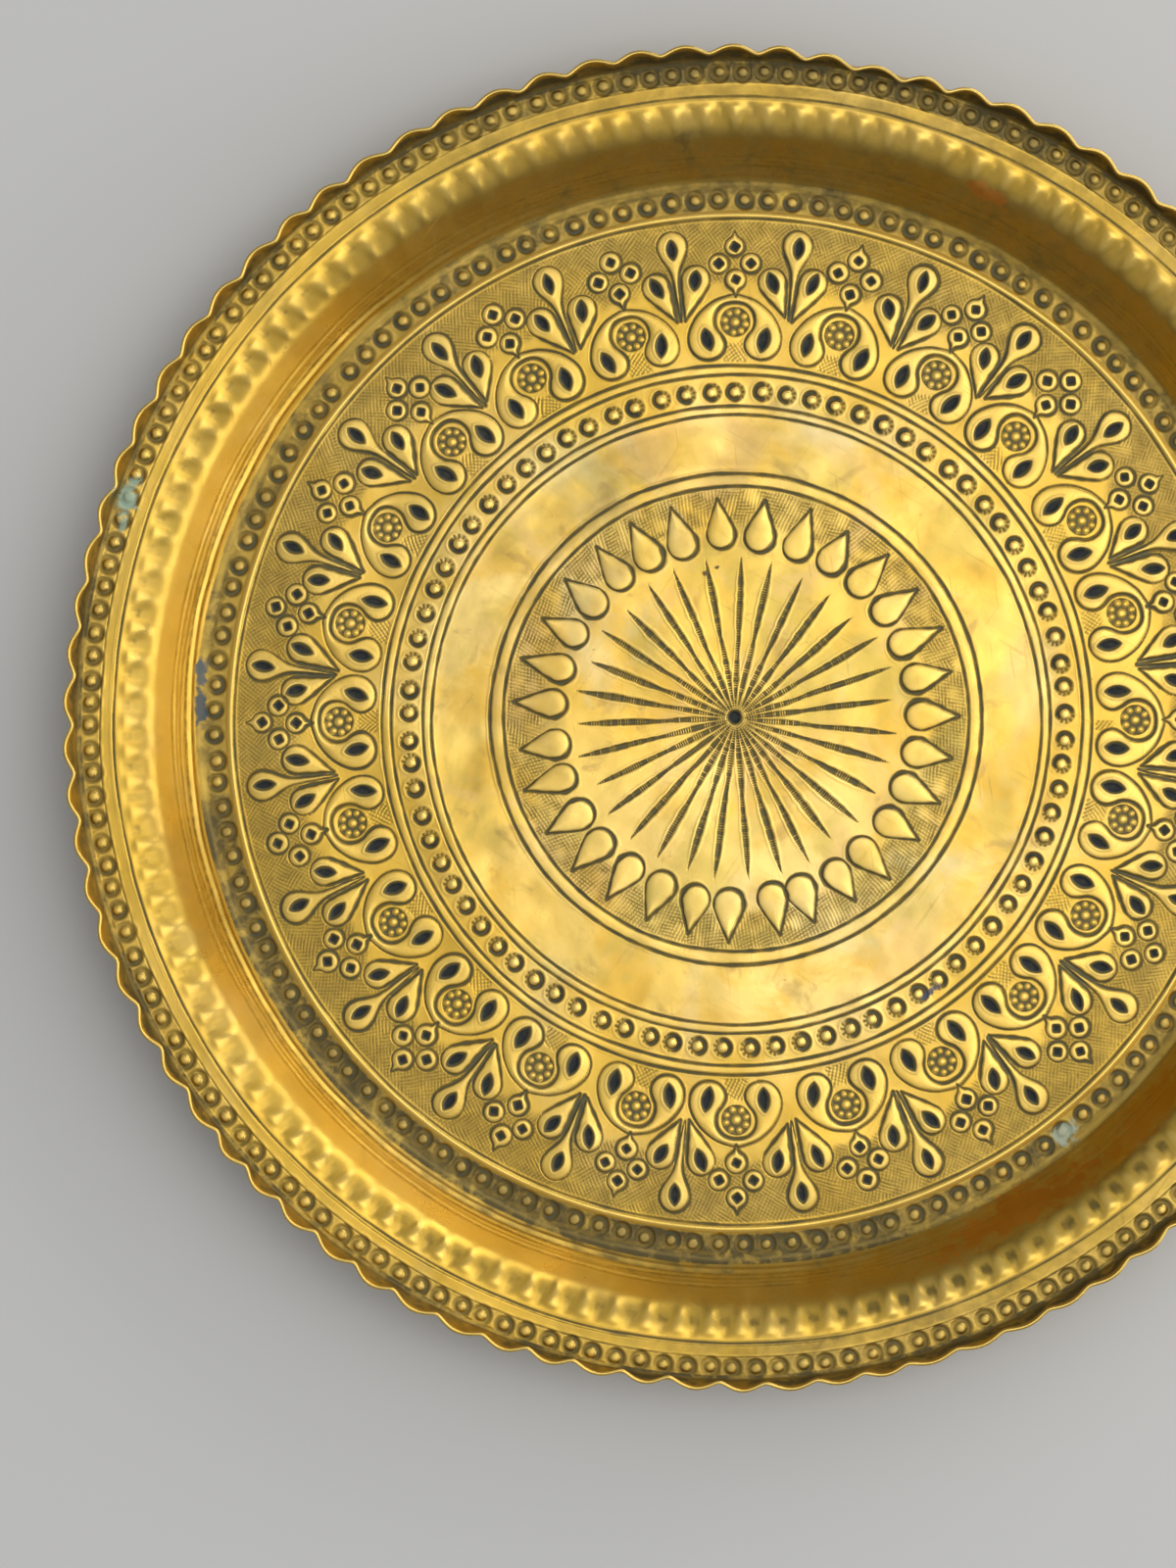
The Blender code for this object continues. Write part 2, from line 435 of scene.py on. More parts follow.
zp = Z["petals"]
w_hatch = (sstep(190 * U, 204 * U, zp.R) * sstep(236.5 * U, 233.0 * U, zp.R)
           * (1.0 - zp.fill) * np.clip(0.95 + 0.25 * sample(FINE, zp.X, zp.Y), 0, 1))
hatch(zp, w_hatch, 0.5 * (PETAL_ANGLES + next_petal), 0.92, 0.23, 0.11, 0.42, 51,
      lean=(0.10, 1.45))
zp.soft = np.maximum(zp.soft, 0.28 * w_hatch)


# ---- inner bead ring: a raised dot in a half-moon dent with a toothed far side
def bead(zone, r, th, dot, height, moat, depth, lean, dark, teeth=0, open_side=0.25, soft=0.0):
    got = zone.window(r, th, moat * 1.35)
    if got is None:
        return
    win, lx, ly = got
    ly = ly - r
    d = np.hypot(lx, ly)
    face = np.cos(np.arctan2(ly, lx) - lean)
    full = open_side + (1.0 - open_side) * sstep(-0.75, 0.25, face)
    reach = moat * (0.80 + 0.20 * full)
    hollow = sstep(dot * 0.80, dot * 1.08, d) * sstep(reach * 1.06, reach * 0.84, d)
    zone.cut[win] = np.maximum(zone.cut[win], depth * full * hollow)
    zone.groove[win] = np.maximum(zone.groove[win], dark * full * sstep(dot * 0.86, dot * 1.12, d)
                                  * sstep(reach * 1.08, reach * 0.80, d))
    if teeth:
        turn = np.arctan2(ly, lx) - lean
        tick = sstep(0.15, 0.75, np.cos(turn * teeth)) * sstep(-0.05, -0.45, face)
        tick = tick * sstep(dot * 0.95, dot * 1.2, d) * sstep(moat * 1.02, moat * 0.90, d)
        zone.cut[win] = np.maximum(zone.cut[win], depth * 0.45 * tick)
        zone.groove[win] = np.maximum(zone.groove[win], 0.50 * tick)
    dome = np.clip(1.0 - (d / (dot * 1.06)) ** 2, 0.0, None)
    zone.up[win] = np.maximum(zone.up[win], height * dome ** 0.5)
    zone.up[win] += 0.04 * np.exp(-(((d - moat * 1.12) / (0.14 * moat)) ** 2))
    if soft:
        zone.soft[win] = np.maximum(zone.soft[win], soft * sstep(moat * 1.3, moat * 0.8, d)
                                    * sstep(dot * 0.8, dot * 1.15, d))


N_INNER, N_OUTER, N_FLANGE = 81, 133, 174
for k in range(N_INNER):
    th = TAU * (k + rng.uniform(-0.07, 0.07)) / N_INNER + 0.02
    bead(Z["inner_beads"], (335.2 + rng.uniform(-0.9, 0.9)) * U, th, 5.5 * U * rng.uniform(0.94, 1.06),
         0.36, 10.0 * U * rng.uniform(0.95, 1.04), 0.42, rng.uniform(-0.5, 0.4), rng.uniform(0.76, 0.90),
         teeth=11, open_side=rng.uniform(0.12, 0.45), soft=0.30)
zo = Z["outer_beads"]
for k in range(N_OUTER):
    th = TAU * (k + rng.uniform(-0.08, 0.08)) / N_OUTER
    bead(zo, (533.2 + rng.uniform(-0.9, 0.9)) * U, th, 5.0 * U * rng.uniform(0.92, 1.08), 0.34,
         10.6 * U * rng.uniform(0.95, 1.05), 0.42, rng.uniform(-1.6, 0.2),
         rng.uniform(0.55, 0.80), open_side=0.55, soft=0.6)
zf = Z["flange"]
for k in range(N_FLANGE):
    th = TAU * (k + rng.uniform(-0.08, 0.08)) / N_FLANGE + 0.01
    bead(zf, (661.6 + rng.uniform(-1.2, 1.2)) * UF, th, 5.2 * UF * rng.uniform(0.92, 1.08), 0.34,
         11.0 * UF * rng.uniform(0.96, 1.05), 0.36, rng.uniform(-0.9, 0.4),
         rng.uniform(0.34, 0.58), open_side=0.60, soft=0.5)
# painted shade on the flange: tarnish all round, made much darker towards the top (80°) and bottom (282°) of the
# view, on the bead ring and inside it
tarnish_and_shade = 0.22 + 0.72 * around(zf.th, 80, 34, 24) + 0.30 * around(zf.th, 282, 22, 20) \
    + ring_noise(zf.th, 44, 511, 0.10)
zf.soft = np.maximum(zf.soft, tarnish_and_shade[None, :] * sstep(168.4, 169.6, zf.R))
tarnish_and_shade = 0.42 * around(zf.th, 84, 38, 24) + 0.46 * around(zf.th, 288, 26, 20) + ring_noise(zf.th, 60, 514, 0.08)
zf.soft = np.maximum(zf.soft, np.clip(tarnish_and_shade, 0, 1)[None, :] * sstep(168.9, 168.1, zf.R))

# ---- the wide band: leaves, four-ring flowers, scrolls with rosettes
TREFOIL = np.radians([
    7.9, 22.9, 37.9, 53.1, 67.2, 82.7, 97.9, 113.4, 128.7, 143.1, 158.7, 173.3, 187.7,
    202.8, 217.8, 232.9, 247.8, 262.5, 277.8, 293.4, 308.2, 323.4, 338.0, 353.0])
N_SECT = len(TREFOIL)
FLOWER = 0.5 * (TREFOIL + np.append(TREFOIL[1:], TREFOIL[0] + TAU)) + rng.uniform(-0.006, 0.006, N_SECT)
zb = Z["band"]

TOP_LEAF = [(0, 504.8), (8.2, 502.4), (14.2, 496), (15.9, 488.3), (13.6, 479.5), (8.8, 470.5),
            (4.9, 461.5), (3.2, 450), (2.6, 437), (1.8, 424), (0.3, 411.5)]
SCROLL = [(0, 435.2), (9, 433.2), (23, 427.2), (37.5, 413.5), (46, 395), (44.6, 379.5), (36.5, 370),
          (26, 367.4), (16.2, 370.6), (10.6, 377.8), (9.8, 385.5), (13.4, 393.0), (18.2, 399.5),
          (20.2, 407.5), (18.6, 416.2), (13.2, 423.0), (5.5, 426.2)]


def mirrored(half, wide=1.0, r_mid=None, tall=1.0, lean=0.0):
    """A closed outline from its right half; the first point lies on the axis."""
    right = [(x * wide, r) for x, r in half]
    left = [(-x * wide, r) for x, r in half[::-1] if x > 0.45]
    pts = np.array(right + left, float)
    mid = r_mid if r_mid is not None else pts[:, 1].mean()
    pts[:, 1] = mid + (pts[:, 1] - mid) * tall
    pts[:, 0] += lean * (pts[:, 1] - mid)
    return pts * U


def outline(zone, axis, pts, wide, depth, mask, pillow, seed, thick_at=0.0, swing=0.35):
    mid_r = 0.5 * (pts[:, 1].min() + pts[:, 1].max())
    half = 0.5 * max(np.ptp(pts[:, 0]), np.ptp(pts[:, 1])) + 2.0
    win, lx, ly = zone.window(mid_r, axis, half)
    sd, where = outline_sd(lx, ly, pts)
    w = wide * (1.0 + swing * np.cos(TAU * (where - thick_at))
                + 0.14 * ring_noise(where * TAU, 17, seed) + 0.10 * ring_noise(where * TAU, 43, seed + 1))
    m = np.clip(mask * (1.0 + 0.22 * ring_noise(where * TAU, 13, seed + 2)), 0, 1)
    zone.stroke(win, np.abs(sd), w, depth, m)
    inner = np.clip(-sd / 2.4, 0, 1)
    zone.up[win] = np.maximum(zone.up[win], pillow * np.sqrt(inner * (2 - inner)))
    zone.fill[win] = np.maximum(zone.fill[win], sstep(0.55, 0.25, sd))


def almond(zone, axis, across, out, a, b, turn, depth=0.62, steep=0.5, mask=1.0):
    """A deep pointed punch mark, steep on one side and sloping on the other."""
    got = zone.window(math.hypot(across, out), axis + math.atan2(across, out), a + 1.4)
    win, lx, ly = zone.window(math.hypot(across, out), axis, a + 1.4 + abs(across) * 1.2)
    lx, ly = lx - across, ly - out
    c, s = math.cos(turn), math.sin(turn)
    px, py = c * lx + s * ly, -s * lx + c * ly
    sd = leaf_sd(px, py, a, b)
    tilt = steep * np.clip(px / b, -1, 1)
    hole = sstep(0.30, -0.72 * b, sd * (1.0 - 0.35 * tilt))
    zone.cut[win] = np.maximum(zone.cut[win], depth * hole)
    dark = 0.62 * sstep(0.50, -0.10, sd) + 0.38 * sstep(0.20, -0.80, sd + 0.45 * tilt)
    zone.groove[win] = np.maximum(zone.groove[win], mask * dark)
    zone.soft[win] = np.maximum(zone.soft[win], 0.40 * sstep(1.5, 0.2, sd - 0.5 * tilt))
    zone.up[win] += 0.05 * np.exp(-(((sd - 0.62) / 0.26) ** 2))


def ring_flower(zone, axis, across, out, radius, tip, seed):
    """One ring of a four-ring flower: a ring line round a square punch, with or without a tip."""
    r3 = np.random.default_rng(seed)
    half = radius + abs(tip) + 2.0
    win, lx, ly = zone.window(out, axis, half + abs(across))
    lx, ly = lx - across, ly - out
    d = np.hypot(lx, ly)
    sd = d - radius
    if tip:
        s = 1.0 if tip > 0 else -1.0
        point = drop_sd(lx, ly * s, radius * 0.66, 0.06, radius + abs(tip))
        k = 0.55
        h = np.clip(0.5 + 0.5 * (point - sd) / k, 0, 1)
        sd = point * (1 - h) + sd * h - k * h * (1 - h)
    turn = r3.uniform(0, TAU)
    w = 0.37 * (1.0 + 0.38 * np.cos(np.arctan2(ly, lx) - turn))
    zone.stroke(win, np.abs(sd), w, 0.26, r3.uniform(0.62, 0.76))
    inner = np.clip(-sd / (radius * 0.5), 0, 1)
    zone.up[win] = np.maximum(zone.up[win], 0.20 * np.sqrt(inner * (2 - inner)))
    zone.fill[win] = np.maximum(zone.fill[win], sstep(0.55, 0.25, sd))
    px = lx + r3.uniform(-0.12, 0.12)
    py = ly + r3.uniform(-0.12, 0.12)
    sq = square_sd(px, py, 1.04 * r3.uniform(0.90, 1.08), 0.34, math.radians(45) + r3.uniform(-0.35, 0.35))
    zone.cut[win] = np.maximum(zone.cut[win], 0.55 * sstep(0.22, -0.45, sq))
    zone.groove[win] = np.maximum(zone.groove[win],
                                  0.60 * sstep(0.44, 0.0, sq) + 0.40 * sstep(0.12, -0.55, sq))


def rosette(zone, axis, across, out, seed):
    """A ring line round a centre bead and eight small beads on a sunk dark ground."""
    r3 = np.random.default_rng(seed)
    ring_r = 15.0 * U
    win, lx, ly = zone.window(out, axis, ring_r + 2.0)
    lx, ly = lx - across, ly - out
    d = np.hypot(lx, ly)
    ground = sstep(ring_r, ring_r - 0.5, d)
    zone.fill[win] = np.maximum(zone.fill[win], sstep(ring_r + 0.5, ring_r + 0.2, d))
    zone.stroke(win, np.abs(d - ring_r + 0.2), 0.22, 0.24, 0.66, burr=0.02)
    sunk = zone.cut[win]
    up = zone.up[win]
    dark = zone.groove[win]
    up = np.where(d < ring_r - 0.3, 0.0, up)
    sunk = np.maximum(sunk, 0.26 * ground)
    dark = np.where(d < ring_r - 0.3, r3.uniform(0.60, 0.74) * ground, dark)
    spin = r3.uniform(0, TAU)
    spots = [(0.0, 0.0, 4.7 * U * r3.uniform(0.94, 1.06), 0.40)]
    for m in range(8):
        a = spin + TAU * (m + r3.uniform(-0.06, 0.06)) / 8
        spots.append((10.7 * U * math.cos(a), 10.7 * U * math.sin(a), 3.35 * U * r3.uniform(0.9, 1.08), 0.32))
    for bx, by, br, bh in spots:
        q = np.hypot(lx - bx, ly - by) / br
        dome = np.clip(1.0 - q * q, 0, None) ** 0.6
        sunk = sunk - dome * np.minimum(sunk, bh)
        dark = dark * (1.0 - sstep(1.18, 0.80, q))
    zone.cut[win] = sunk
    zone.up[win] = up
    zone.groove[win] = dark


for k in range(N_SECT):
    a = FLOWER[k]
    # scroll over the rosette, with a lobe on either side
    pts = mirrored(SCROLL, wide=rng.uniform(0.96, 1.03), r_mid=400, tall=rng.uniform(0.98, 1.03),
                   lean=rng.uniform(-0.05, 0.05))
    outline(zb, a, catmull(pts, 4), 0.37, 0.27, 0.70, 0.24, 4000 + 7 * k,
            thick_at=rng.uniform(0.35, 0.65), swing=0.38)
    rosette(zb, a, rng.uniform(-0.2, 0.2), (406.6 + rng.uniform(-0.8, 0.8)) * U, 5000 + k)
    for side in (-1, 1):
        almond(zb, a, side * (28.6 + rng.uniform(-1.2, 1.2)) * U, (387.5 + rng.uniform(-1.2, 1.2)) * U,
               rng.uniform(11.6, 13.0) * U, rng.uniform(5.4, 6.3) * U, -side * rng.uniform(-0.08, 0.38),
               steep=rng.choice([-0.5, 0.5]))
for k in range(N_SECT):
    a = TREFOIL[k]
    pts = mirrored(TOP_LEAF, wide=rng.uniform(0.95, 1.04), r_mid=460, tall=rng.uniform(0.98, 1.01),
                   lean=rng.uniform(-0.03, 0.03))
    outline(zb, a, catmull(pts, 4), 0.38, 0.28, 0.72, 0.24, 6000 + 7 * k,
            thick_at=rng.uniform(0, 1), swing=0.42)
    almond(zb, a, rng.uniform(-0.25, 0.25), (486.0 + rng.uniform(-1.5, 1.5)) * U,
           rng.uniform(10.2, 11.6) * U, rng.uniform(4.7, 5.5) * U, rng.uniform(-0.14, 0.14),
           steep=rng.choice([-0.5, 0.5]))
    for side in (-1, 1):
        cx = side * (20.8 + rng.uniform(-1.0, 1.6)) * U
        cy = (450.5 + rng.uniform(-2.5, 2.5)) * U
        tip = (side * rng.uniform(3.0, 5.0) * U, rng.uniform(410, 415) * U)
        drop(zb, a, (cx, cy), tip, rng.uniform(13.8, 15.0) * U, wide=rng.uniform(0.40, 0.48),
             depth=0.30, bias=side * rng.uniform(0.0, 0.55), pillow=0.24,
             round_end=rng.uniform(0.55, 0.85), tail_more=rng.uniform(0.05, 0.35))
        lean = math.atan2(cx - tip[0], cy - tip[1])
        almond(zb, a, cx * 0.97, cy - 0.3, rng.uniform(10.4, 12.0) * U, rng.uniform(5.0, 5.9) * U,
               -lean * rng.uniform(0.6, 1.25), steep=rng.choice([-0.5, 0.5]))
for k in range(N_SECT):
    a = FLOWER[k]
    mid = 468.2 + rng.uniform(-1.0, 1.0)
    for m, (fx, fr, tip) in enumerate(((0, 17.2, 6.2), (0, -17.2, -6.6), (17.0, 0.3, 0), (-17.0, 0.3, 0))):
        if tip > 0 and rng.uniform() < 0.35:
            tip = 0
        ring_flower(zb, a, (fx + rng.uniform(-0.9, 0.9)) * U, (mid + fr + rng.uniform(-0.9, 0.9)) * U,
                    10.7 * U * rng.uniform(0.95, 1.05), tip * U, 7000 + 4 * k + m)

# hatched ground of the band, and the small patch under every rosette
ragged = sample(FINE, zb.X, zb.Y)
outer = sstep(440 * U, 456 * U, zb.R + 0.8 * ragged) * sstep(512 * U, 509 * U, zb.R)
k_near = np.searchsorted(0.5 * (FLOWER + np.append(FLOWER[1:], FLOWER[0] + TAU)), zb.th) % N_SECT
away = np.abs((zb.th - FLOWER[k_near] + math.pi) % TAU - math.pi)
patch = (sstep(11.5 * U, 8.5 * U, zb.R * away[None, :] - 0.12 * (384 * U - zb.R))
         * sstep(363 * U, 365 * U, zb.R) * sstep(389 * U, 384 * U, zb.R + 0.5 * ragged))
weight = np.maximum(outer, patch) * (1.0 - zb.fill)
hatch(zb, weight, FLOWER, 0.93, 0.23, 0.10, 0.36, 61)
zb.soft = np.maximum(zb.soft, 0.42 * outer * (1 - zb.fill))
zb.soft = np.maximum(zb.soft, 0.16 * sstep(430 * U, 470 * U, zb.R))

# ---- the edge of the floor
# tarnish on the outer bead ring, darker towards the lower left of the view
bead_ring_darkening = 0.58 + 0.38 * around(zo.th, 246, 50, 20) + ring_noise(zo.th, 60, 512, 0.16)
zo.soft = np.maximum(zo.soft, bead_ring_darkening[None, :] * sstep(519 * U, 524 * U, zo.R))
zo.cut += 0.10 * sstep(519.5 * U, 523 * U, zo.R)
foot_line = 144.1 + ring_noise(zo.th, 36, 77, 0.35) + ring_noise(zo.th, 110, 78, 0.15)
pale_band = np.exp(-(((zo.R - foot_line[None, :]) / 0.75) ** 2))
zo.up += 0.16 * pale_band
zo.groove = np.maximum(zo.groove, 0.50 * np.exp(-(((zo.R - foot_line[None, :] + 1.5) / 0.7) ** 2))
                       * np.clip(0.55 + ring_noise(zo.th, 230, 513, 0.6), 0, 1)[None, :])

# ---- flutes pressed into the shoulder
zw = Z["wall"]
N_FLUTES = 124


def flutes(zone):
    phase = N_FLUTES * zone.T + (ring_noise(zone.th, 40, 91, 0.8) + ring_noise(zone.th, 124, 92, 0.45))[None, :]
    size = 1.0 + ring_noise(zone.th, 96, 93, 0.25)[None, :]
    live = sstep(155.2, 160.2, zone.R) * sstep(164.6, 162.2, zone.R)
    c = 0.5 + 0.5 * np.cos(phase)
    sharp = 0.75 + 2.0 * sstep(162.5, 156.5, zone.R)
    zone.up += live * size * (0.62 - 0.22 * around(zone.T, 165, 48, 25)) * (c ** sharp - 0.5)
    hollow = np.exp(-(((zone.R - 159.8) / 2.0) ** 2)) * sstep(0.66, 0.05, c)
    zone.groove = np.maximum(zone.groove, (0.24 * around(zone.T, 285, 62, 25) + 0.20 * around(zone.T, 298, 32, 18))
                             * np.clip(size, 0, 1.2) * hollow)
    small = np.exp(-(((zone.R - 161.4) / 0.9) ** 2)) * sstep(0.5, 0.05, c)
    zone.groove = np.maximum(zone.groove, 0.24 * around(zone.T, 165, 48, 25) * np.clip(size, 0, 1.2) * small)
    zone.soft = np.maximum(zone.soft, 0.26 * live * sstep(0.35, 0.0, c) * sstep(156.0, 160.0, zone.R))


flutes(zw)
flutes(zf)

# ---- hand work: slow waviness and small dents everywhere
for name, zone in Z.items():
    slow = sample(BROAD, zone.X, zone.Y) * 0.10 + sample(MIDDLE, zone.X, zone.Y) * 0.028 \
        + sample(FINE, zone.X, zone.Y) * 0.006
    zone.slow = slow


# ---------------------------------------------------------- the sheet's shape
def bend(corner, a_in, a_out, radius, steps=24):
    turn = a_out - a_in
    reach = abs(radius * math.tan(turn / 2.0))
    side = 1.0 if turn > 0 else -1.0
    sx, sz = corner[0] - reach * math.cos(a_in), corner[1] - reach * math.sin(a_in)
    cx, cz = sx - side * radius * math.sin(a_in), sz + side * radius * math.cos(a_in)
    a = a_in + turn * np.arange(steps + 1) / steps
    return np.stack([cx + side * radius * np.sin(a), cz - side * radius * np.cos(a)], 1)


SHOULDER_R = FOOT_R + (FLANGE_Z - SHEET) / math.tan(WALL_ANGLE)
RISE = math.atan2(FLANGE_RISE, LIP_BASE_R - SHOULDER_R)
PROFILE = np.concatenate([
    [[0.0, SHEET], [60.0, SHEET], [120.0, SHEET]],
    bend((FOOT_R, SHEET), 0.0, WALL_ANGLE, FOOT_FILLET),
    bend((SHOULDER_R, FLANGE_Z), WALL_ANGLE, RISE, SHOULDER_FILLET),
    [[LIP_BASE_R, FLANGE_Z + FLANGE_RISE], [190.0, FLANGE_Z + FLANGE_RISE * 1.5]]])
dense_r = np.linspace(0, 190, 3801)
dense_z = np.interp(dense_r, PROFILE[:, 0], PROFILE[:, 1])
kernel = np.hanning(13)
kernel /= kernel.sum()
dense_z = np.convolve(np.pad(dense_z, 6, mode="edge"), kernel, mode="valid")
slope_z = np.gradient(dense_z, dense_r)


def sheet_at(r):
    """Height of the upper face and its normal (outward, up) at radius r."""
    z = np.interp(r, dense_r, dense_z)
    g = np.interp(r, dense_r, slope_z)
    length = np.sqrt(1.0 + g * g)
    return z, -g / length, 1.0 / length


def drift(r, th):
    """Hand-made unevenness of the foot and shoulder circles, mm along the radius."""
    at_foot = np.exp(-(((r - 146.0) / 6.0) ** 2))
    at_top = np.exp(-(((r - 160.0) / 7.0) ** 2))
    return (at_foot * (ring_noise(th, 30, 201, 0.34) + ring_noise(th, 9, 202, 0.28))
            + at_top * ring_noise(th, 14, 203, 0.30))


def off_centre(r):
    """The circles were struck by hand, so each has a centre of its own."""
    return (np.interp(r, [0, 62, 95, 135, 146, 158, 170], [0.0, 0.08, 0.24, 0.48, 0.40, 0.10, 0.0]),
            np.interp(r, [0, 62, 95, 135, 146, 158, 170], [0.0, -0.06, -0.40, -0.86, -1.05, -0.70, -0.45]))


def place(r, th, disp):
    z, nr, nz = sheet_at(r - drift(r, th))
    rr = r + nr * disp
    ox, oy = off_centre(r)
    return np.stack([rr * np.cos(th) + ox, rr * np.sin(th) + oy, z + nz * disp], -1)


def scallop(theta):
    """0 in a trough, 1 on a crest: round crests between tighter troughs."""
    half = 0.5 * SCALLOPS * (theta - CREST_ANGLE) + ring_noise(theta, 43, 301, 0.16) \
        + ring_noise(theta, 86, 302, 0.10)
    c = (np.sqrt(np.cos(half) ** 2 + 0.05) - 0.2236) / 0.8011
    return 0.45 * np.sin(0.5 * math.pi * c) + 0.55 * c * c


def lip_curve(th, t):
    """Inner face of the lip, from the flange's edge (t = 0) to the free edge (t = 1)."""
    wave = scallop(th)
    deep = SCALLOP_DEPTH * (1.0 + ring_noise(th, 60, 303, 0.16) - 0.24 * around(th, 303, 22, 14))
    sway = ring_noise(th, 13, 304, 0.22) + ring_noise(th, 31, 305, 0.22) + 0.95 * around(th, 191, 15, 9) \
        - 0.45 * around(th, 72, 8, 7) + 0.35 * around(th, 232, 8, 8)
    bent = -1.7 * around(th, 77, 5, 6) + 0.45 * around(th, 97, 8, 8) - 0.7 * around(th, 261, 7, 6) \
        + 0.6 * around(th, 241, 8, 7)
    top_r = LIP_OUTER_R + 0.12 - SHEET * 1.04 - 0.94 * deep * (1.0 - wave) + 0.62 * sway + bent
    top_z = LIP_TOP_Z - 0.32 + ring_noise(th, 24, 306, 0.14) + 0.10 * wave
    flange = FLANGE_Z + FLANGE_RISE
    p0 = (174.0, None)
    z0, _, _ = sheet_at(174.0 - drift(174.0, th))
    x1, z1 = 175.45 + 0.25 * sway, flange - 0.05
    x2, z2 = 175.35 + 0.30 * (top_r - 175.35) + 0.12 * sway, flange + 2.1
    t = np.asarray(t)
    b0, b1, b2, b3 = (1 - t) ** 3, 3 * t * (1 - t) ** 2, 3 * t * t * (1 - t), t ** 3
    r = b0 * 174.0 + b1 * x1 + b2 * x2 + b3 * top_r
    z = b0 * z0 + b1 * z1 + b2 * z2 + b3 * top_z
    return np.stack([r * np.cos(th), r * np.sin(th) - 0.45 + 0.15 * t, z + 0 * th], -1)


# the wall is a little fuller than a cone, and ends below in a pinched bead
zw = Z["wall"]
zw.up += 0.42 * np.sin(math.pi * np.clip((zw.R - 147.5) / 16.0, 0, 1))
pinch = 146.9 + ring_noise(zw.th, 37, 521, 0.35) + ring_noise(zw.th, 120, 522, 0.12)
sharp_side = 0.35 + 0.65 * around(zw.th, 195, 75, 25)
off = zw.R - pinch[None, :]
zw.up += 0.26 * sharp_side * np.clip(1.0 - (off / 0.62) ** 2, 0, None)
# painted shade: a dark line just above the pinched bead, strongest on the left
zw.groove = np.maximum(zw.groove, 0.30 * sharp_side * np.exp(-(((off - 1.15) / 0.50) ** 2)))
zn = Z["plain"]
# the plain ring and the petals darker towards the upper left of the view, with a random drift
upper_left_tone = 0.15 * around(zn.T, 150, 70, 30) + 0.035 * sample(MIDDLE, zn.X, zn.Y) + 0.02 * sample(FINE, zn.X, zn.Y)
zn.soft = np.maximum(zn.soft, np.clip(upper_left_tone, 0, 0.45) * sstep(67.4, 69.5, zn.R) * sstep(80.4, 78.5, zn.R))
upper_left_tone = 0.17 * around(zp.T, 150, 60, 30) + 0.06 * sample(MIDDLE, zp.X, zp.Y)
zp.soft = np.maximum(zp.soft, np.clip(upper_left_tone, 0, 0.4) * sstep(44.5, 48.0, zp.R))
zw = Z["wall"]
# painted shade: the wall below the flutes darker towards the top (84°) and bottom (284°) of the view, with a little
# random tarnish
tarnish_and_shade = 0.48 * around(zw.T, 84, 40, 20) + 0.30 * around(zw.T, 284, 24, 16) + 0.06 * sample(MIDDLE, zw.X, zw.Y)
zw.soft = np.maximum(zw.soft, np.clip(tarnish_and_shade, 0, 1) * sstep(160.5, 156.5, zw.R))
# the foot of the wall darker towards the lower left and the top of the view
foot_darkening = 0.50 * around(zw.T, 255, 34, 18) + 0.20 * around(zw.T, 80, 40, 18)
zw.soft = np.maximum(zw.soft, np.clip(foot_darkening + 0.08 * sample(FINE, zw.X, zw.Y), 0, 1)
                     * sstep(148.6, 147.2, zw.R) * (foot_darkening > 0.01))

# ------------------------------------------------------------------ the mesh
rings = []          # (points, uv radius, groove, soft, side)
n_top_rings = sum(len(zone.r) for zone in Z.values())


def add_ring(co, uvr, groove, soft, side):
    rings.append((co, uvr, groove, soft, side))


arc = np.concatenate([[0.0], np.cumsum(np.hypot(np.diff(dense_r), np.diff(dense_z)))])
top_disp = {}
for name, zone in Z.items():
    disp = zone.up - zone.cut + zone.slow
    top_disp[name] = disp
    co = place(zone.R, zone.T, disp)
    for i in range(len(zone.r)):
        add_ring(co[i], np.interp(zone.r[i], dense_r, arc), zone.groove[i], zone.soft[i], 0)

n_lip = Z["flange"].n
th_lip = TAU * np.arange(n_lip) / n_lip
steps_lip = 18
arc0 = float(np.interp(174.0, dense_r, arc))
inner_lip = []
for k in range(steps_lip + 1):
    t = k / steps_lip
    co = lip_curve(th_lip, t)
    inner_lip.append(co)
    # the inner face of the lip painted dark: partly tarnish, partly painted shade, most towards the top (85°) and
    # bottom (295°) of the view; the dark band low on the face is partly patina, partly painted shade
    lip_tarnish_and_shade = (0.66 + 0.25 * around(th_lip, 85, 42, 20) + 0.2 * around(th_lip, 295, 35, 20)) * sstep(1.0, 0.80, t) * (1 + ring_noise(th_lip, 60, 402, 0.3)) \
        + 0.20 * (1.0 - scallop(th_lip)) * sstep(0.9, 0.3, t)
    dark = 0.42 * np.exp(-(((t - 0.30) / 0.16) ** 2)) * (0.7 + 0.3 * scallop(th_lip))
    add_ring(co, arc0 + 7.4 * t, np.clip(dark, 0, 1), np.clip(lip_tarnish_and_shade, 0, 1), 0)
inner_lip = np.array(inner_lip)

# outer face of the lip: the inner face moved outwards by the sheet's thickness
sideways = np.roll(inner_lip, -1, axis=1) - np.roll(inner_lip, 1, axis=1)
along = np.gradient(inner_lip, axis=0)
normal = np.cross(sideways, along)
normal /= np.linalg.norm(normal, axis=-1, keepdims=True)
flip = (normal[..., 0] * np.cos(th_lip) + normal[..., 1] * np.sin(th_lip)
        - normal[..., 2]) < 0
normal[flip] *= -1
thick = SHEET * 1.05
outer_lip = inner_lip + thick * normal

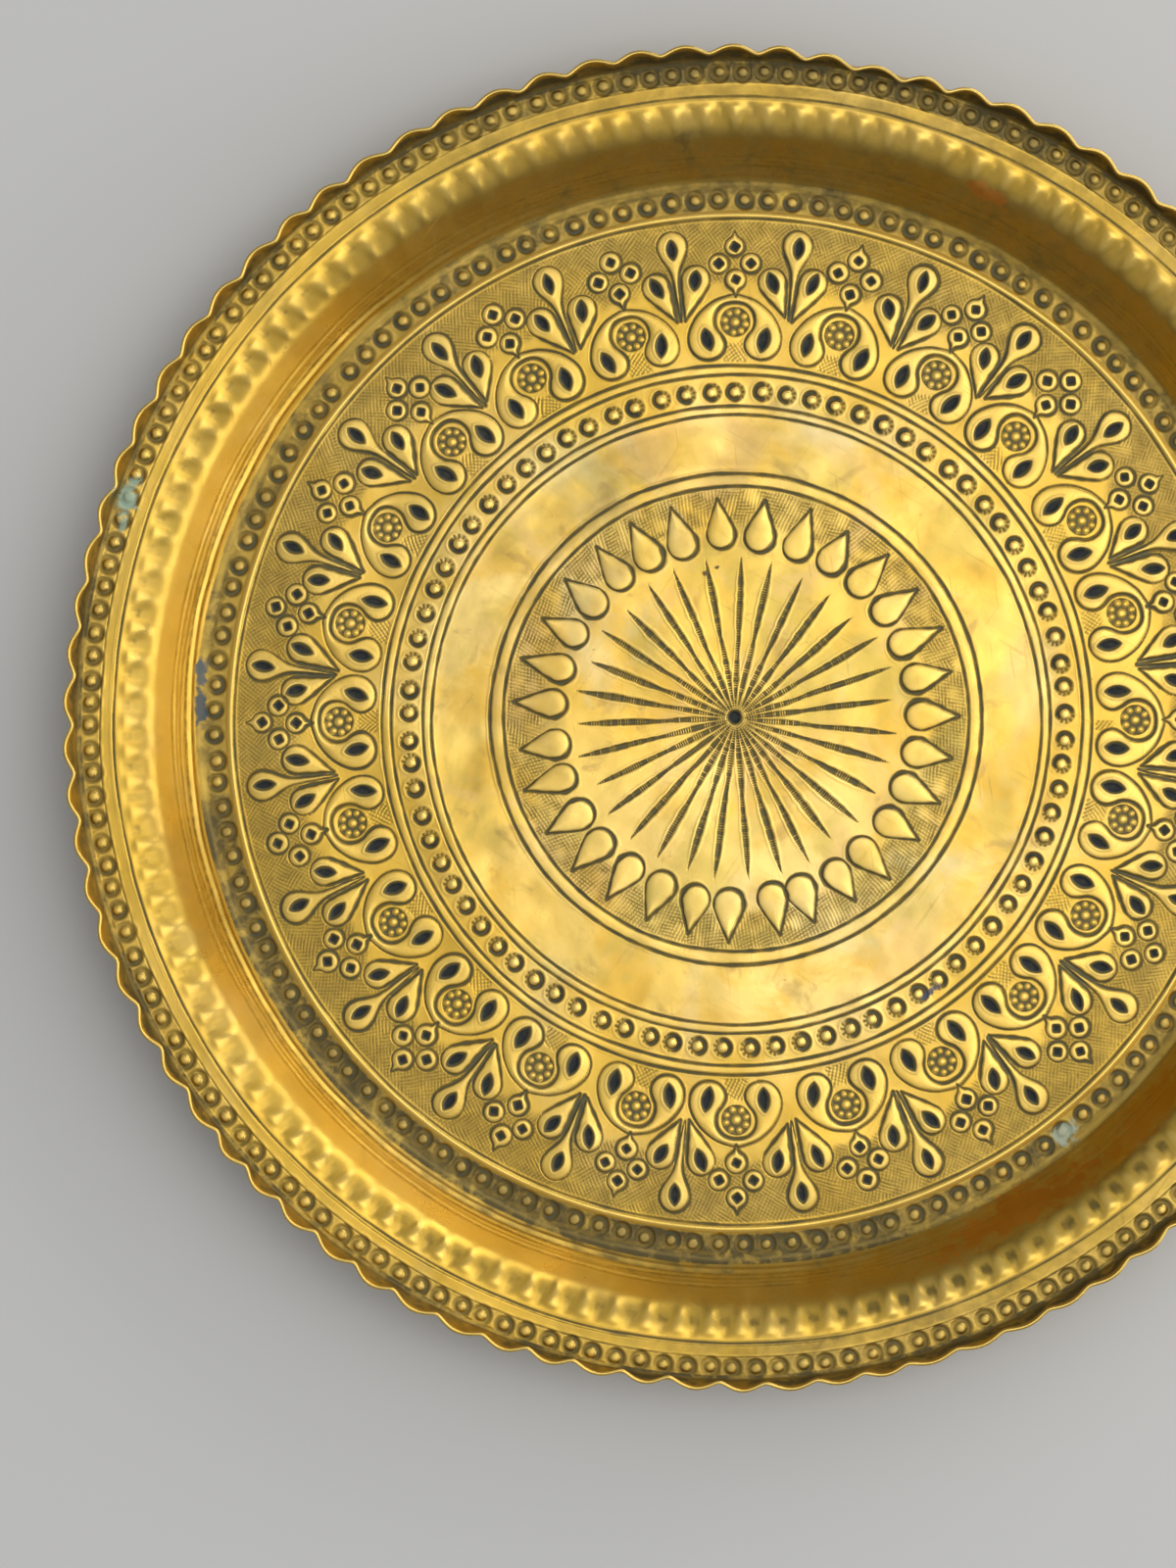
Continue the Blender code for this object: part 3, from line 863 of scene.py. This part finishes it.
# rounded, slightly burred free edge, rubbed pale all round: partly wear, partly a painted highlight
mid_top = 0.5 * (inner_lip[-1] + outer_lip[-1])
zero = np.zeros(n_lip)
rise = np.array([0, 0, 0.24])
edge_uv = arc0 + 7.4
rubbed_highlight_rings = [len(rings) - 1]
for f, lift in ((0.18, 0.62), (0.5, 1.0), (0.82, 0.62)):
    rubbed_highlight_rings.append(len(rings))
    add_ring(inner_lip[-1] * (1 - f) + outer_lip[-1] * f + rise * lift, edge_uv + 0.9 * f, zero, zero, 0)
UV_TOP = edge_uv + 0.9

# underside relief: what is cut in above stands out below, blunted by the sheet
n_map, span = 900, 364.0
heights = np.zeros(n_map * n_map)
count = np.zeros(n_map * n_map)
for name, zone in Z.items():
    ix = np.clip(((zone.X / span + 0.5) * n_map).astype(int), 0, n_map - 1)
    iy = np.clip(((zone.Y / span + 0.5) * n_map).astype(int), 0, n_map - 1)
    flat = (iy * n_map + ix).ravel()
    heights += np.bincount(flat, (zone.up - zone.cut).ravel(), minlength=n_map * n_map)
    count += np.bincount(flat, minlength=n_map * n_map)
height_map = (heights / np.maximum(count, 1)).reshape(n_map, n_map)


def blur(g, sigma):
    k = np.fft.fftfreq(g.shape[0])
    f = np.exp(-2 * (math.pi * sigma) ** 2 * (k[None, :] ** 2 + k[:, None] ** 2))
    return np.fft.ifft2(np.fft.fft2(g) * f).real


broad_map = blur(height_map, 5.0)
height_map = blur(height_map, 1.35)
worn_tops = []
for name, zone in Z.items():
    over = zone.up - zone.cut - sample(broad_map, zone.X, zone.Y, span)
    worn = np.clip((over - 0.03) / 0.22, 0, 1) * (1 - np.clip(1.6 * zone.groove, 0, 1))
    worn_tops += list(worn * (zone.R < 172.8) * (0.55 if zone.r[0] > 130 else 1.0))


def under_disp(r, th):
    x, y = r * np.cos(th), r * np.sin(th)
    relief = sample(height_map, x, y, span)
    slow = sample(BROAD, x, y) * 0.10 + sample(MIDDLE, x, y) * 0.028
    return relief * 0.62 + slow


def under_place(r, th):
    z, nr, nz = sheet_at(r - drift(r, th))
    disp = under_disp(r, th)
    flat = sstep(143.0, 138.0, r)
    gap = SHEET * (1.0 - 0.30 * flat)
    rr = r + nr * (disp - gap)
    zz = z + nz * (disp - gap)
    ox, oy = off_centre(r)
    return np.stack([rr * np.cos(th) + ox, rr * np.sin(th) + oy, np.maximum(zz, 0.0)], -1)


under_uv = 0.0
for k in range(steps_lip, -1, -1):
    t = k / steps_lip
    if k < steps_lip and k % 2 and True:
        continue
    soft = 0.35 + 0.25 * sstep(0.5, 0.0, t) * np.ones(n_lip)
    add_ring(outer_lip[k], 8.4 * (1 - t), zero, soft, 1)
total_arc = 8.4
dr_u = 0.75
radii = np.arange(173.2, 0.8, -dr_u)
n_now = n_lip
prev_r = 174.4
for r in radii:
    want = 1440 if r > 92 else (720 if r > 44 else (360 if r > 12 else 90))
    while n_now > want and n_now % 2 == 0 and n_now // 2 >= want:
        n_now //= 2
        break
    th = TAU * np.arange(n_now) / n_now
    z_a = float(np.interp(r, dense_r, dense_z))
    z_b = float(np.interp(prev_r, dense_r, dense_z))
    total_arc += math.hypot(prev_r - r, z_a - z_b)
    prev_r = r
    relief = under_disp(np.full(n_now, r), th)
    co = under_place(np.full(n_now, r), th)
    worn = np.clip(0.38 + 0.08 * sample(MIDDLE, co[:, 0], co[:, 1])
                   - 0.5 * sstep(0.10, -0.22, relief) * (r < 140), 0, 1)
    add_ring(co, total_arc, np.zeros(n_now), worn, 1)
total_arc += prev_r

counts = [len(rg[0]) for rg in rings]
starts = np.concatenate([[1], 1 + np.cumsum(counts)])
n_vert = int(starts[-1]) + 1
verts = np.zeros((n_vert, 3))
groove = np.zeros(n_vert)
soft = np.zeros(n_vert)
uvr = np.zeros(n_vert)
side_of = np.zeros(n_vert, int)
angle_of = np.zeros(n_vert)
worn_at = np.zeros(n_vert)
for row, a in zip(worn_tops, starts):
    worn_at[a:a + len(row)] = row
# the free edge rubbed pale: partly wear, partly a painted highlight
for i in rubbed_highlight_rings:
    worn_at[starts[i]:starts[i] + counts[i]] = 0.95
for (co, ur, g, s, side), a in zip(rings, starts):
    n = len(co)
    verts[a:a + n] = co
    groove[a:a + n] = g
    soft[a:a + n] = s
    uvr[a:a + n] = ur
    side_of[a:a + n] = side
    angle_of[a:a + n] = TAU * np.arange(n) / n
verts[0] = (0, 0, rings[0][0][:, 2].mean() - 0.02)
groove[0] = 1.0
verts[-1] = (0, 0, rings[-1][0][:, 2].mean())
uvr[-1] = total_arc
side_of[-1] = 1
soft[-1] = 0.5

quads, tris = [], []
ar = np.arange(counts[0])
tris.append(np.stack([np.zeros_like(ar), starts[0] + ar, starts[0] + (ar + 1) % counts[0]], 1))
for i in range(len(rings) - 1):
    na, nb = counts[i], counts[i + 1]
    sa, sb = starts[i], starts[i + 1]
    if na == nb:
        k = np.arange(na)
        k1 = (k + 1) % na
        quads.append(np.stack([sa + k, sb + k, sb + k1, sa + k1], 1))
    elif nb > na:
        m = nb // na
        k = np.arange(na)
        a, b = sa + k, sa + (k + 1) % na
        for j in range(m):
            o0, o1 = sb + (m * k + j) % nb, sb + (m * k + j + 1) % nb
            tris.append(np.stack([a if j < m / 2 else b, o0, o1], 1))
        tris.append(np.stack([a, sb + (m * k + (m + 1) // 2) % nb, b], 1))
    else:
        m = na // nb
        k = np.arange(nb)
        a, b = sb + k, sb + (k + 1) % nb
        for j in range(m):
            o0, o1 = sa + (m * k + j) % na, sa + (m * k + j + 1) % na
            tris.append(np.stack([a if j < m / 2 else b, o1, o0], 1))
        tris.append(np.stack([a, b, sa + (m * k + (m + 1) // 2) % na], 1))
ar = np.arange(counts[-1])
tris.append(np.stack([starts[-2] + ar, np.full_like(ar, n_vert - 1), starts[-2] + (ar + 1) % counts[-1]], 1))
quads = np.concatenate(quads)
tris = np.concatenate(tris)

mesh = bpy.data.meshes.new("tray_sheet")
mesh.vertices.add(n_vert)
mesh.vertices.foreach_set("co", (verts * 0.001).astype(np.float32).ravel())
loops = np.concatenate([quads.ravel(), tris.ravel()]).astype(np.int32)
mesh.loops.add(len(loops))
mesh.loops.foreach_set("vertex_index", loops)
n_poly = len(quads) + len(tris)
loop_start = np.concatenate([np.arange(len(quads)) * 4, len(quads) * 4 + np.arange(len(tris)) * 3]).astype(np.int32)
mesh.polygons.add(n_poly)
mesh.polygons.foreach_set("loop_start", loop_start)
mesh.update(calc_edges=True)
mesh.shade_smooth()

for label, values in (("groove", groove), ("soft", soft), ("worn", worn_at), ("upper_face", 1.0 - side_of)):
    att = mesh.attributes.new(label, "FLOAT", "POINT")
    att.data.foreach_set("value", np.clip(values, 0, 1).astype(np.float32))

# texture layout: the upper face as one disc, the underside as a smaller one in the corner
uv = mesh.uv_layers.new(name="OFBake")
big, small = 0.415, 0.160
r_uv = np.where(side_of == 0, uvr / UV_TOP * big, (1.0 - uvr / total_arc) * small)
cx = np.where(side_of == 0, big + 0.004, 1.0 - small - 0.004)
sgn = np.where(side_of == 0, 1.0, -1.0)
vu = cx + r_uv * np.cos(angle_of) * sgn
vv = cx + r_uv * np.sin(angle_of)
uv_loops = np.stack([vu[loops], vv[loops]], 1)
# faces between the free edge and the outer face belong to the underside's disc
poly_of_loop = np.concatenate([np.repeat(np.arange(len(quads)), 4), len(quads) + np.repeat(np.arange(len(tris)), 3)])
some_under = np.zeros(n_poly, bool)
np.logical_or.at(some_under, poly_of_loop, side_of[loops] == 1)
mixed = some_under[poly_of_loop] & (side_of[loops] == 0)
rr = small * 1.006
uv_loops[mixed, 0] = (1.0 - small - 0.004) - rr * np.cos(angle_of[loops[mixed]])
uv_loops[mixed, 1] = (1.0 - small - 0.004) + rr * np.sin(angle_of[loops[mixed]])
uv.data.foreach_set("uv", uv_loops.astype(np.float32).ravel())
mesh.validate(clean_customdata=False)

tray = bpy.data.objects.new("chased_tray", mesh)
bpy.context.scene.collection.objects.link(tray)


# ------------------------------------------------------------------ material
def brass():
    mat = bpy.data.materials.new("chased_brass")
    mat.use_nodes = True
    nt = mat.node_tree
    nt.nodes.clear()
    N, L = nt.nodes.new, nt.links.new

    def node(kind, **props):
        n = N(kind)
        for k, v in props.items():
            setattr(n, k, v)
        return n

    def attr(name):
        n = node("ShaderNodeAttribute", attribute_name=name)
        return n.outputs["Fac"]

    coord = node("ShaderNodeTexCoord").outputs["Object"]

    def mapped(scale, turn=0.0, shift=(0, 0, 0)):
        m = node("ShaderNodeMapping")
        m.inputs["Scale"].default_value = scale
        m.inputs["Rotation"].default_value = (0, 0, turn)
        m.inputs["Location"].default_value = shift
        L(coord, m.inputs["Vector"])
        return m.outputs["Vector"]

    def noise(scale, detail=4.0, rough=0.55, distort=0.0, vector=None):
        n = node("ShaderNodeTexNoise")
        n.inputs["Scale"].default_value = scale
        n.inputs["Detail"].default_value = detail
        n.inputs["Roughness"].default_value = rough
        n.inputs["Distortion"].default_value = distort
        L(vector or coord, n.inputs["Vector"])
        return n.outputs["Fac"]

    def math_(op, a, b=None, clamp=False):
        n = node("ShaderNodeMath", operation=op, use_clamp=clamp)
        for i, v in enumerate((a, b)):
            if v is None:
                continue
            if isinstance(v, (int, float)):
                n.inputs[i].default_value = v
            else:
                L(v, n.inputs[i])
        return n.outputs[0]

    def rerange(v, lo, hi, to_lo=0.0, to_hi=1.0, smooth=True):
        n = node("ShaderNodeMapRange", interpolation_type="SMOOTHSTEP" if smooth else "LINEAR")
        L(v, n.inputs["Value"])
        n.inputs["From Min"].default_value = lo
        n.inputs["From Max"].default_value = hi
        n.inputs["To Min"].default_value = to_lo
        n.inputs["To Max"].default_value = to_hi
        return n.outputs["Result"]

    def mix(fac, a, b):
        n = node("ShaderNodeMix", data_type="RGBA")
        if isinstance(fac, (int, float)):
            n.inputs[0].default_value = fac
        else:
            L(fac, n.inputs[0])
        for slot, v in ((6, a), (7, b)):
            if isinstance(v, tuple):
                n.inputs[slot].default_value = (*v, 1.0)
            else:
                L(v, n.inputs[slot])
        return n.outputs[2]

    g = attr("groove")
    s = attr("soft")

    # bare metal: golden, with slow drifts to paler, browner and pinker
    gold = (0.88, 0.582, 0.118)
    pale = (0.93, 0.672, 0.215)
    amber = (0.75, 0.45, 0.066)
    pink = (0.76, 0.50, 0.20)
    n_big = noise(9.0, 3.0, 0.5, 0.3)
    n_mid = noise(38.0, 4.0, 0.6, 0.6)
    n_pink = noise(24.0, 5.0, 0.62, 1.2, mapped((1, 1, 1), 0.7, (3.1, 0.4, 0)))
    n_olive = noise(30.0, 4.0, 0.6, 0.9, mapped((1, 1, 1), 0.2, (0.7, 5.2, 0)))
    n_blot = noise(95.0, 3.0, 0.55, 0.7, mapped((1, 1, 1), 0.9, (2.2, 7.7, 0)))
    col = mix(rerange(n_big, 0.42, 0.62), gold, pale)
    col = mix(rerange(n_mid, 0.42, 0.64, 0.0, 0.80), col, amber)
    col = mix(rerange(n_olive, 0.48, 0.66, 0.0, 0.70), col, (0.58, 0.435, 0.10))
    col = mix(rerange(n_pink, 0.52, 0.68, 0.0, 0.55), col, pink)
    n_haze = noise(17.0, 4.0, 0.6, 1.0, mapped((1, 1, 1), 1.3, (9.1, 2.3, 0)))
    col = mix(rerange(n_haze, 0.52, 0.70, 0.0, 0.42), col, (0.70, 0.63, 0.38))
    col = mix(rerange(n_blot, 0.58, 0.72, 0.0, 0.55), col, (0.44, 0.28, 0.09))

    # the outer part of the floor and all above it is less rubbed, so deeper in colour
    radial = node("ShaderNodeVectorMath", operation="MULTIPLY")
    L(coord, radial.inputs[0])
    radial.inputs[1].default_value = (1, 1, 0)
    dist = node("ShaderNodeVectorMath", operation="LENGTH")
    L(radial.outputs[0], dist.inputs[0])
    deep = math_("ADD", dist.outputs["Value"], rerange(n_mid, 0.3, 0.7, -0.006, 0.006, False))
    col = mix(rerange(deep, 0.082, 0.100, 0.0, 0.70), col, (0.70, 0.435, 0.060))

    # thin tarnish, thicker where the soft mask says so, broken up by noise; the soft mask also carries painted shade
    # on the wall, flange and lip
    n_soft = noise(160.0, 5.0, 0.65, 0.4)
    soft_on = math_("MULTIPLY", s, rerange(n_soft, 0.30, 0.68, 0.55, 1.25), clamp=True)
    col = mix(soft_on, col, (0.235, 0.170, 0.046))
    col = mix(rerange(soft_on, 0.50, 1.0, 0.0, 0.70), col, (0.082, 0.070, 0.036))
    # rubbed high spots paler; on the lip's free edge this is partly a painted highlight
    rub = attr("worn")
    col = mix(math_("MULTIPLY", rub, 0.80), col, (0.93, 0.66, 0.18))
    specks = noise(520.0, 3.0, 0.6)
    col = mix(rerange(specks, 0.70, 0.80, 0.0, 0.55), col, (0.16, 0.10, 0.035))

    # dark filling of the cuts: brown at the edges, olive in lines, blue-black in punches; the same colours paint
    # shade above the wall's foot bead and low on the lip
    n_g = noise(420.0, 3.0, 0.6)
    g_on = math_("ADD", g, rerange(n_g, 0.3, 0.7, -0.07, 0.07))
    g_brown = rerange(g_on, 0.08, 0.46)
    g_olive = rerange(g_on, 0.38, 0.74)
    g_black = rerange(g_on, 0.74, 1.02)
    col = mix(g_brown, col, (0.250, 0.170, 0.040))
    col = mix(g_olive, col, (0.125, 0.112, 0.050))
    col = mix(g_black, col, (0.014, 0.018, 0.020))

    bsdf = node("ShaderNodeBsdfPrincipled")
    out = node("ShaderNodeOutputMaterial")
    L(bsdf.outputs["BSDF"], out.inputs["Surface"])

    # corrosion: green on the flange, blue-grey at the foot, a pale scab, a small stain; and painted orange
    # reflections on the wall
    sep = node("ShaderNodeSeparateXYZ")
    L(coord, sep.inputs[0])

    def spot(x, y, rx, ry, turn, seed_shift, edge=0.35):
        m = node("ShaderNodeMapping", vector_type="TEXTURE")
        m.inputs["Location"].default_value = (x * 0.001, y * 0.001, 0)
        m.inputs["Rotation"].default_value = (0, 0, math.radians(turn))
        m.inputs["Scale"].default_value = (rx * 0.001, ry * 0.001, 1.0)
        L(coord, m.inputs["Vector"])
        flat = node("ShaderNodeVectorMath", operation="MULTIPLY")
        L(m.outputs["Vector"], flat.inputs[0])
        flat.inputs[1].default_value = (1, 1, 0)
        ln = node("ShaderNodeVectorMath", operation="LENGTH")
        L(flat.outputs[0], ln.inputs[0])
        wob = noise(230.0, 4.0, 0.65, 0.5, mapped((1, 1, 1), 0.0, (seed_shift, 0, 0)))
        v = math_("ADD", ln.outputs["Value"], rerange(wob, 0.25, 0.75, -0.75, 0.75, False))
        v = math_("ADD", v, 0.0)
        up = rerange(sep.outputs["Z"], -0.001, 0.0004)
        up = math_("MULTIPLY", up, attr("upper_face"))
        return math_("MULTIPLY", rerange(v, 1.0, 1.0 - edge - 0.25), up)

    spots = [
        (spot(-161.3, 58.2, 3.6, 6.6, -20, 1.0), (0.40, 0.57, 0.44)),
        (spot(-163.0, 50.5, 1.6, 3.2, -14, 2.0), (0.36, 0.48, 0.36)),
        (spot(-142.9, 13.0, 2.0, 4.8, 0, 3.0), (0.085, 0.125, 0.155)),
        (spot(-143.1, 2.4, 2.1, 5.8, 0, 4.0), (0.060, 0.095, 0.125)),
        (spot(88.0, -111.6, 4.4, 3.6, 25, 5.0), (0.52, 0.60, 0.46)),
        (spot(51.5, -74.2, 3.4, 1.4, 40, 6.0), (0.10, 0.12, 0.20)),
        (spot(-8.2, 39.0, 0.9, 0.7, 40, 7.0), (0.16, 0.085, 0.03)),
        (spot(-5.0, 40.6, 0.7, 0.5, 10, 8.0), (0.16, 0.085, 0.03)),
    ]
    # painted reflection: orange patches on the wall at about 300°, 318° and 64°, where the brass reflects brass
    orange_reflections = [
        (spot(75.0, -131.0, 34.0, 5.0, 30, 9.0), (0.66, 0.29, 0.030)),
        (spot(112.0, -103.0, 20.0, 5.0, 47, 10.0), (0.70, 0.35, 0.040)),
        (spot(67.0, 139.0, 6.5, 2.6, 155, 11.0), (0.72, 0.30, 0.050)),
    ]
    for fac, tint in orange_reflections:
        col = mix(math_("MULTIPLY", fac, 0.88), col, tint)
    crust = None
    for fac, tint in spots:
        col = mix(math_("MULTIPLY", fac, 0.88), col, tint)
        crust = fac if crust is None else math_("MAXIMUM", crust, fac)
    L(col, bsdf.inputs["Base Color"])

    # metal under it all; tarnish and dirt cover it
    cover = math_("MAXIMUM", rerange(g_on, 0.30, 0.95, 0.0, 0.85), math_("MULTIPLY", crust, 0.92))
    cover = math_("MAXIMUM", cover, math_("MULTIPLY", soft_on, 0.30))
    L(math_("SUBTRACT", 1.0, cover, clamp=True), bsdf.inputs["Metallic"])

    # roughness: rubbed high spots, duller low ones, and fine scratches

    def hairs(turn, along, across, lo, hi):
        first = node("ShaderNodeMapping")
        first.inputs["Rotation"].default_value = (0, 0, turn)
        L(coord, first.inputs["Vector"])
        then = node("ShaderNodeMapping")
        then.inputs["Scale"].default_value = (along, across, 1.0)
        L(first.outputs["Vector"], then.inputs["Vector"])
        return rerange(noise(1.0, 1.0, 0.4, 0.0, then.outputs["Vector"]), lo, hi)

    scr = math_("MAXIMUM", hairs(0.55, 45.0, 1300.0, 0.66, 0.74), hairs(-0.95, 38.0, 1200.0, 0.67, 0.75))
    scr = math_("MAXIMUM", scr, hairs(1.45, 60.0, 1000.0, 0.68, 0.76))
    rough = rerange(noise(70.0, 5.0, 0.6, 0.3), 0.3, 0.7, 0.25, 0.36, False)
    rough = math_("ADD", rough, math_("MULTIPLY", scr, 0.07))
    rough = math_("ADD", rough, math_("MULTIPLY", soft_on, 0.20))
    rough = math_("SUBTRACT", rough, math_("MULTIPLY", rub, 0.05))
    rough = math_("ADD", rough, math_("MULTIPLY", cover, 0.28))
    rough = math_("MINIMUM", rough, 0.85)
    L(rough, bsdf.inputs["Roughness"])

    # fine surface: grain, pits and hair scratches
    grain = noise(900.0, 4.0, 0.6)
    ripple = noise(210.0, 3.0, 0.5)
    h = math_("ADD", math_("MULTIPLY", grain, 0.35), math_("MULTIPLY", ripple, 0.75))
    h = math_("SUBTRACT", h, math_("MULTIPLY", scr, 0.12))
    h = math_("ADD", h, math_("MULTIPLY", crust, 1.2))
    bump = node("ShaderNodeBump")
    bump.inputs["Strength"].default_value = 0.55
    bump.inputs["Distance"].default_value = 0.00007
    L(h, bump.inputs["Height"])
    L(bump.outputs["Normal"], bsdf.inputs["Normal"])
    return mat


mesh.materials.append(brass())
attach(tray, "root")
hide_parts("tray_body")

# --------------------------------------------------------------------- stage
bpy.ops.mesh.primitive_plane_add(size=12.0, location=(0, 0, -0.0002))
floor = bpy.context.object
floor.name = "stage_floor"
fm = bpy.data.materials.new("pale_floor")
fm.use_nodes = True
fb = fm.node_tree.nodes["Principled BSDF"]
fb.inputs["Base Color"].default_value = (0.74, 0.735, 0.72, 1)
fb.inputs["Roughness"].default_value = 0.9
floor.data.materials.append(fm)


def area(name, at, look, size, power, color=(1, 1, 1), size_y=None):
    light = bpy.data.lights.new(name, "AREA")
    light.energy = power
    light.color = color
    light.size = size
    if size_y:
        light.shape = "RECTANGLE"
        light.size_y = size_y
    ob = bpy.data.objects.new(name, light)
    ob.location = at
    ob.rotation_euler = (Vector(look) - Vector(at)).to_track_quat("-Z", "Y").to_euler()
    ob.visible_camera = False
    bpy.context.scene.collection.objects.link(ob)
    return ob


def glow(radiance, w, h):
    """Power of a w by h panel that looks this bright."""
    return radiance * math.pi * w * h


area("overhead", (0.36, 0.02, 2.4), (0.12, 0.02, 0.0), 1.4, glow(0.74, 1.4, 1.3), (1.0, 0.985, 0.95), 1.3)
area("overhead_right", (1.00, 0.20, 2.2), (0.15, 0.10, 0.0), 1.2, glow(0.95, 1.2, 1.8), (1.0, 0.99, 0.97), 1.8)
area("window_low", (2.90, -0.76, 0.88), (-0.05, 0.0, 0.05), 3.1, glow(1.9, 3.1, 1.3), (1.0, 0.99, 0.96), 1.3)
area("window_back", (1.85, 2.27, 0.88), (-0.03, -0.05, 0.05), 2.7, glow(2.2, 2.7, 1.3), (1.0, 0.99, 0.96), 1.3)

world = bpy.data.worlds.new("studio")
bpy.context.scene.world = world
world.use_nodes = True
wn = world.node_tree
bg = wn.nodes["Background"]
wdir = wn.nodes.new("ShaderNodeTexCoord")


def world_range(source, lo, hi, to_lo, to_hi):
    n = wn.nodes.new("ShaderNodeMapRange")
    n.interpolation_type = "SMOOTHSTEP"
    for key, v in (("From Min", lo), ("From Max", hi), ("To Min", to_lo), ("To Max", to_hi)):
        n.inputs[key].default_value = v
    wn.links.new(source, n.inputs["Value"])
    return n.outputs["Result"]


toward = wn.nodes.new("ShaderNodeVectorMath")
toward.operation = "DOT_PRODUCT"
toward.inputs[1].default_value = (0.86, 0.50, 0.0)
wn.links.new(wdir.outputs["Generated"], toward.inputs[0])
split = wn.nodes.new("ShaderNodeSeparateXYZ")
wn.links.new(wdir.outputs["Generated"], split.inputs[0])
side_part = world_range(toward.outputs["Value"], -0.1, 1.0, 0.0, 0.20)
high_part = world_range(split.outputs["Z"], 0.16, 0.62, 0.02, 0.46)
added = wn.nodes.new("ShaderNodeMath")
added.operation = "ADD"
wn.links.new(side_part, added.inputs[0])
wn.links.new(high_part, added.inputs[1])
path = wn.nodes.new("ShaderNodeLightPath")
seen = wn.nodes.new("ShaderNodeMix")
seen.data_type = "FLOAT"
wn.links.new(path.outputs["Is Camera Ray"], seen.inputs[0])
wn.links.new(added.outputs[0], seen.inputs[2])
seen.inputs[3].default_value = 0.50
wn.links.new(seen.outputs[0], bg.inputs["Strength"])
bg.inputs["Color"].default_value = (0.98, 0.99, 1.0, 1.0)
bpy.context.scene.view_settings.view_transform = "Standard"

# -------------------------------------------------------------------- camera
CAM_HEIGHT = 1.5
cam = bpy.data.cameras.new("camera")
cam.sensor_width = 36.0
cam.sensor_fit = "AUTO"
cam.lens = 36.0 * CAM_HEIGHT / (1600 * U * 0.001)
cam.clip_start = 0.05
cam_ob = bpy.data.objects.new("camera", cam)
cam_ob.location = (-150.5 * U * 0.001, -66.5 * U * 0.001, CAM_HEIGHT)
cam_ob.rotation_euler = (0.0, 0.0, 0.0)
bpy.context.scene.collection.objects.link(cam_ob)
bpy.context.scene.camera = cam_ob

print("tray mesh:", n_vert, "vertices,", n_poly, "faces")
